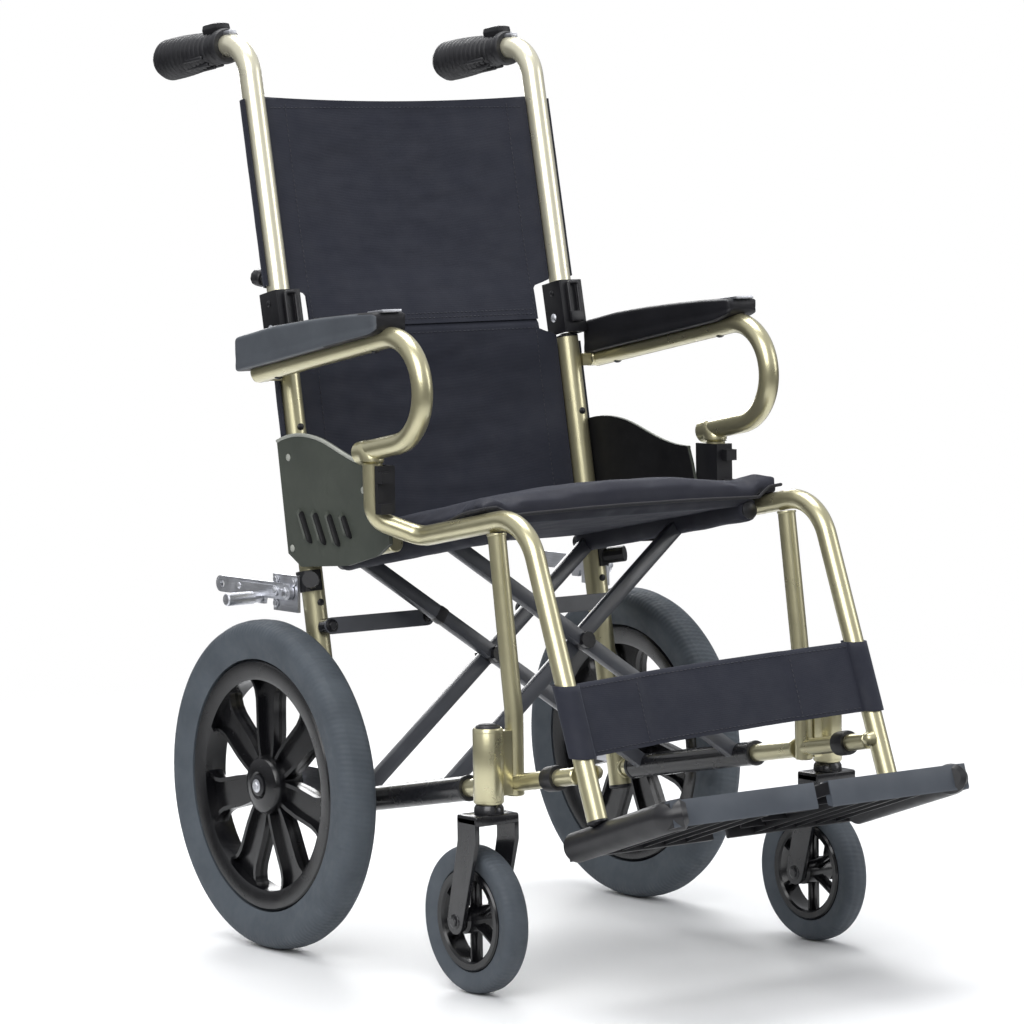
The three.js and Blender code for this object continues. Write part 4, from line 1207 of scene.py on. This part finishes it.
def seat():
    """Padded nylon seat: inflated by a cloth simulation, then seamed and bound."""
    columns, rows = 61, 57
    verts = []
    for top in (True, False):
        for i in range(rows):
            for k in range(columns):
                verts.append(seat_point(-1 + 2 * k / (columns - 1), i / (rows - 1), top))
    cushion = make("seat_look", [(verts, closed_grid(columns, rows))], NYLON_SEAT, None, angle=80)
    inflate(cushion, 0.005, 3.0, 0.006)
    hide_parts("seat")
    fold_with_brace(cushion)
    lift = (0, 0, 0.6)
    shapes = []
    for u in (-0.88, 0.88):
        shapes += seam(lambda t: seat_point(u, 0.03 + 0.94 * t, True), 40, lift)
    for v in (0.07, 0.5, 0.95):
        shapes += seam(lambda t: seat_point(-0.88 + 1.76 * t, v, True), 50, lift)
    fold_with_brace(make("seat_seams", shapes, THREAD, None))
    for side, name in SIDES:
        seat_hem(side, name)
    edge = [(-1, 1 - i / 40) for i in range(41)] + [(-1 + i / 25, 0) for i in range(1, 51)]
    edge += [(1, i / 40) for i in range(1, 41)]
    welt = tube([seat_point(*at, True).lerp(seat_point(*at, False), 0.75) for at in edge], 1.8, 10, 0.6)
    fold_with_brace(make("seat_piping", [welt], TAPE, None))


def seat_hem(side, name):
    """The seat's edge sewn round the brace tube that carries it."""
    half = [(-6, 16), (-11.5, 10), (-12, 0), (-10.5, -6.5), (-6.5, -10.5)]
    loop = [*half[1:], (0, -12), *((-dx, dz) for dx, dz in reversed(half)), half[0]]
    rows = 35
    verts = []
    for i in range(rows):
        y = -196 + 304 * i / (rows - 1)
        for dx, dz in loop:
            sag = 1.2 * noise.noise(Vector((y * 0.03, dx * 0.05, side * 2.0))) if dz < 0 else 0
            verts.append(from_rails(side * BRACE_TOP_X + dx, y, BRACE_H + dz + sag))
    body = "brace_right" if side > 0 else "brace_left"
    hem = make(f"seat_hem_{name}", [(verts, ring_faces(len(loop), rows))], NYLON_SEAT, body,
               angle=70)
    subdivided(hem)


def inflate(piece, voxel, pressure, cap):
    """Puffs a closed mesh with Blender's cloth, moving no point further than cap."""
    bpy.context.view_layer.objects.active = piece
    remesh = piece.modifiers.new("even", "REMESH")
    remesh.mode = "VOXEL"
    remesh.voxel_size = voxel
    bpy.ops.object.modifier_apply(modifier=remesh.name)
    rest = [v.co.copy() for v in piece.data.vertices]
    cloth = piece.modifiers.new("puff", "CLOTH")
    cloth.settings.use_pressure = True
    cloth.settings.uniform_pressure_force = pressure
    cloth.settings.effector_weights.gravity = 0
    cloth.settings.quality = 5
    cloth.collision_settings.use_collision = False
    scene = bpy.context.scene
    for number in range(1, 21):
        scene.frame_set(number)
    bpy.ops.object.modifier_apply(modifier=cloth.name)
    scene.frame_set(1)
    for vertex, before in zip(piece.data.vertices, rest):
        move = vertex.co - before
        if move.length > cap:
            vertex.co = before + move.normalized() * cap
    for polygon in piece.data.polygons:
        polygon.use_smooth = True
    bpy.ops.object.modifier_apply(modifier=subdivided(piece).name)


def fold_with_brace(piece):
    """Bakes the piece's placement into its mesh."""
    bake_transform(piece)


def strap_point(x, z):
    """The calf strap's front face, double where its ends are sewn back on it, higher on the left."""
    z += STRAP_TILT * x
    across = 1 - (x / STRAP_HALF) ** 2
    doubled = 1.6 * share((abs(x) - 95) / 2.5)
    loose = wrinkle((x, z), (60, 90), 2.0 * across, 3.3)
    return Vector((x, hanger_y(z) - 2 + 9 * across - doubled + loose, z))


def calf_strap():
    """Wide strap stretched between the hangers, its ends wrapped round them."""
    columns, rows = 81, 17
    height = STRAP_HIGH - STRAP_LOW
    front = []
    for i in range(rows):
        for k in range(columns):
            x = -STRAP_HALF + 2 * STRAP_HALF * k / (columns - 1)
            front.append(strap_point(x, STRAP_LOW + height * i / (rows - 1)))
    strap = cloth_piece("calf_strap_look", front, columns, rows, 3, "side_right", "calf_strap")
    lift = (0, -0.4, 0)
    shapes = []
    for z in (STRAP_LOW + 4, STRAP_HIGH - 4):
        shapes += seam(lambda t: strap_point((STRAP_HALF - 2) * (2 * t - 1), z), 60, lift)
    for x in (-101, 101):
        shapes += seam(lambda t: strap_point(x, STRAP_LOW + 4 + (height - 8) * t), 10, lift)
    narrows(make("calf_strap_seams", shapes, THREAD, "side_right"))
    for side, name in SIDES:
        strap_end(side, name)


def strap_end(side, name):
    """The end of the calf strap, wound once round its hanger."""
    x = side * FRAME_X
    low = STRAP_LOW + x * STRAP_TILT
    rows, columns = 13, 41
    verts = []
    for r in (RAIL_R + 1.0, RAIL_R + 3.2):
        for i in range(rows):
            z = low + (STRAP_HIGH - STRAP_LOW) * i / (rows - 1)
            for k in range(columns):
                a = math.radians(-100 + 330 * k / (columns - 1))
                verts.append(Vector((x + side * r * math.sin(a), hanger_y(z) - r * math.cos(a), z)))
    piece = make(f"calf_strap_end_{name}", [(verts, closed_grid(columns, rows))], NYLON, f"side_{name}",
                 angle=80)


# ----------------------------------------------------------------------- build
SIDED = (
    rear_post, side_tube, straight_rails, front_leg, caster_housing, side_guard, armrest, arm_pad,
    push_cane, grip, back_hinge, back_latch, rear_wheel, caster, caster_fork, footplate, brace,
    stay_link, wheel_lock,
)
for side, name in SIDES:
    for build in SIDED:
        build(side, name)
backrest()
seat()
calf_strap()

KEPT = {
    "arm_bracket": CHAMPAGNE, "arm_latch": PLASTIC, "post_clamp": PLASTIC, "axle_bracket": STEEL,
    "lock_bracket": STEEL, "lock_lever": STEEL,
}
for node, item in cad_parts.items():
    finish = BLACK_PAINT if node.startswith("brace_bolt") else KEPT.get(node.rsplit("_", 1)[0])
    if finish and not item.hide_render:
        item.data.materials.clear()
        item.data.materials.append(finish)
        rounded(item, 0.8)


# ------------------------------------------------------------ stage and camera
def area_light(name, at, target, size, power):
    """A large soft lamp aimed at the target."""
    data = bpy.data.lights.new(name, "AREA")
    data.shape = "RECTANGLE"
    data.size, data.size_y = size
    data.energy = power
    lamp = bpy.data.objects.new(name, data)
    lamp.location = at
    lamp.rotation_euler = (Vector(target) - Vector(at)).to_track_quat("-Z", "Y").to_euler()
    bpy.context.scene.collection.objects.link(lamp)


def floor_disc():
    """A pale floor that fades into the pale surroundings."""
    mesh = bpy.data.meshes.new("floor")
    mesh.from_pydata([(-9, -9, 0), (9, -9, 0), (9, 9, 0), (-9, 9, 0)], [], [(0, 1, 2, 3)])
    floor = bpy.data.objects.new("floor", mesh)
    bpy.context.scene.collection.objects.link(floor)
    item, tree, shader = new_material("floor", (0.82, 0.825, 0.83), 0.6)
    coords = object_coords(tree)
    far = add(tree, "ShaderNodeVectorMath", {0: coords}, operation="LENGTH")
    fade = add(tree, "ShaderNodeMapRange", {"Value": far.outputs["Value"], "From Min": 0.7, "From Max": 2.4},
               interpolation_type="SMOOTHSTEP")
    clear = add(tree, "ShaderNodeBsdfTransparent")
    mixed = {0: fade.outputs["Result"], 1: shader.outputs[0], 2: clear.outputs[0]}
    mix = add(tree, "ShaderNodeMixShader", mixed)
    tree.links.new(mix.outputs[0], tree.nodes["Material Output"].inputs["Surface"])
    tree.links.new(mottled(tree, coords, 3, 0.55, 0.65), shader.inputs["Roughness"])
    mesh.materials.append(item)


def surroundings():
    """A world that lights from above, and is plain white where the camera sees it."""
    world = bpy.data.worlds.new("studio")
    bpy.context.scene.world = world
    world.use_nodes = True
    tree = world.node_tree
    coords = add(tree, "ShaderNodeTexCoord").outputs["Generated"]
    split = add(tree, "ShaderNodeSeparateXYZ", {"Vector": coords})
    ramp = add(tree, "ShaderNodeValToRGB", {"Fac": split.outputs["Z"]})
    low, high = ramp.color_ramp.elements
    low.position, high.position = 0.0, 0.34
    low.color = (0.1, 0.1, 0.1, 1)
    high.color = (0.6, 0.61, 0.63, 1)
    seen = add(tree, "ShaderNodeLightPath").outputs["Is Camera Ray"]
    tint = add(tree, "ShaderNodeMix", {"Factor": seen}, data_type="RGBA")
    tree.links.new(ramp.outputs["Color"], tint.inputs["A"])
    tint.inputs["B"].default_value = (1, 1, 1, 1)
    back = tree.nodes["Background"]
    tree.links.new(tint.outputs["Result"], back.inputs["Color"])
    back.inputs["Strength"].default_value = 1.0
    bpy.context.scene.view_settings.view_transform = "Standard"


def camera():
    """The viewing direction and lens that give the object's outline in perspective."""
    azimuth, elevation, roll = (math.radians(a) for a in (-36.109, 4.683, -0.864))
    distance = 4.4979
    target = Vector((0, 0.064, 0.4634))
    level = math.cos(elevation)
    back = Vector((math.sin(azimuth) * level, -math.cos(azimuth) * level, math.sin(elevation)))
    right = Vector((math.cos(azimuth), math.sin(azimuth), 0))
    up = back.cross(right)
    turned_right = right * math.cos(roll) + up * math.sin(roll)
    turned_up = up * math.cos(roll) - right * math.sin(roll)
    data = bpy.data.cameras.new("camera")
    data.sensor_width = 36
    data.lens = 145.7
    data.clip_end = 60
    item = bpy.data.objects.new("camera", data)
    axes = Matrix((turned_right, turned_up, back)).transposed().to_4x4()
    item.matrix_world = Matrix.Translation(target + back * distance) @ axes
    bpy.context.scene.collection.objects.link(item)
    bpy.context.scene.camera = item


floor_disc()
surroundings()
area_light("key", (-2.6, -2.2, 2.9), (0, 0, 0.5), (3.0, 3.0), 120)
area_light("fill", (2.9, -2.4, 1.8), (0, 0, 0.5), (1.4, 2.0), 24)
area_light("top", (0.2, 0.6, 3.4), (0, 0, 0.4), (2.2, 2.2), 78)
area_light("rear", (1.4, 3.0, 1.6), (0, 0.1, 0.5), (1.6, 1.6), 45)
camera()
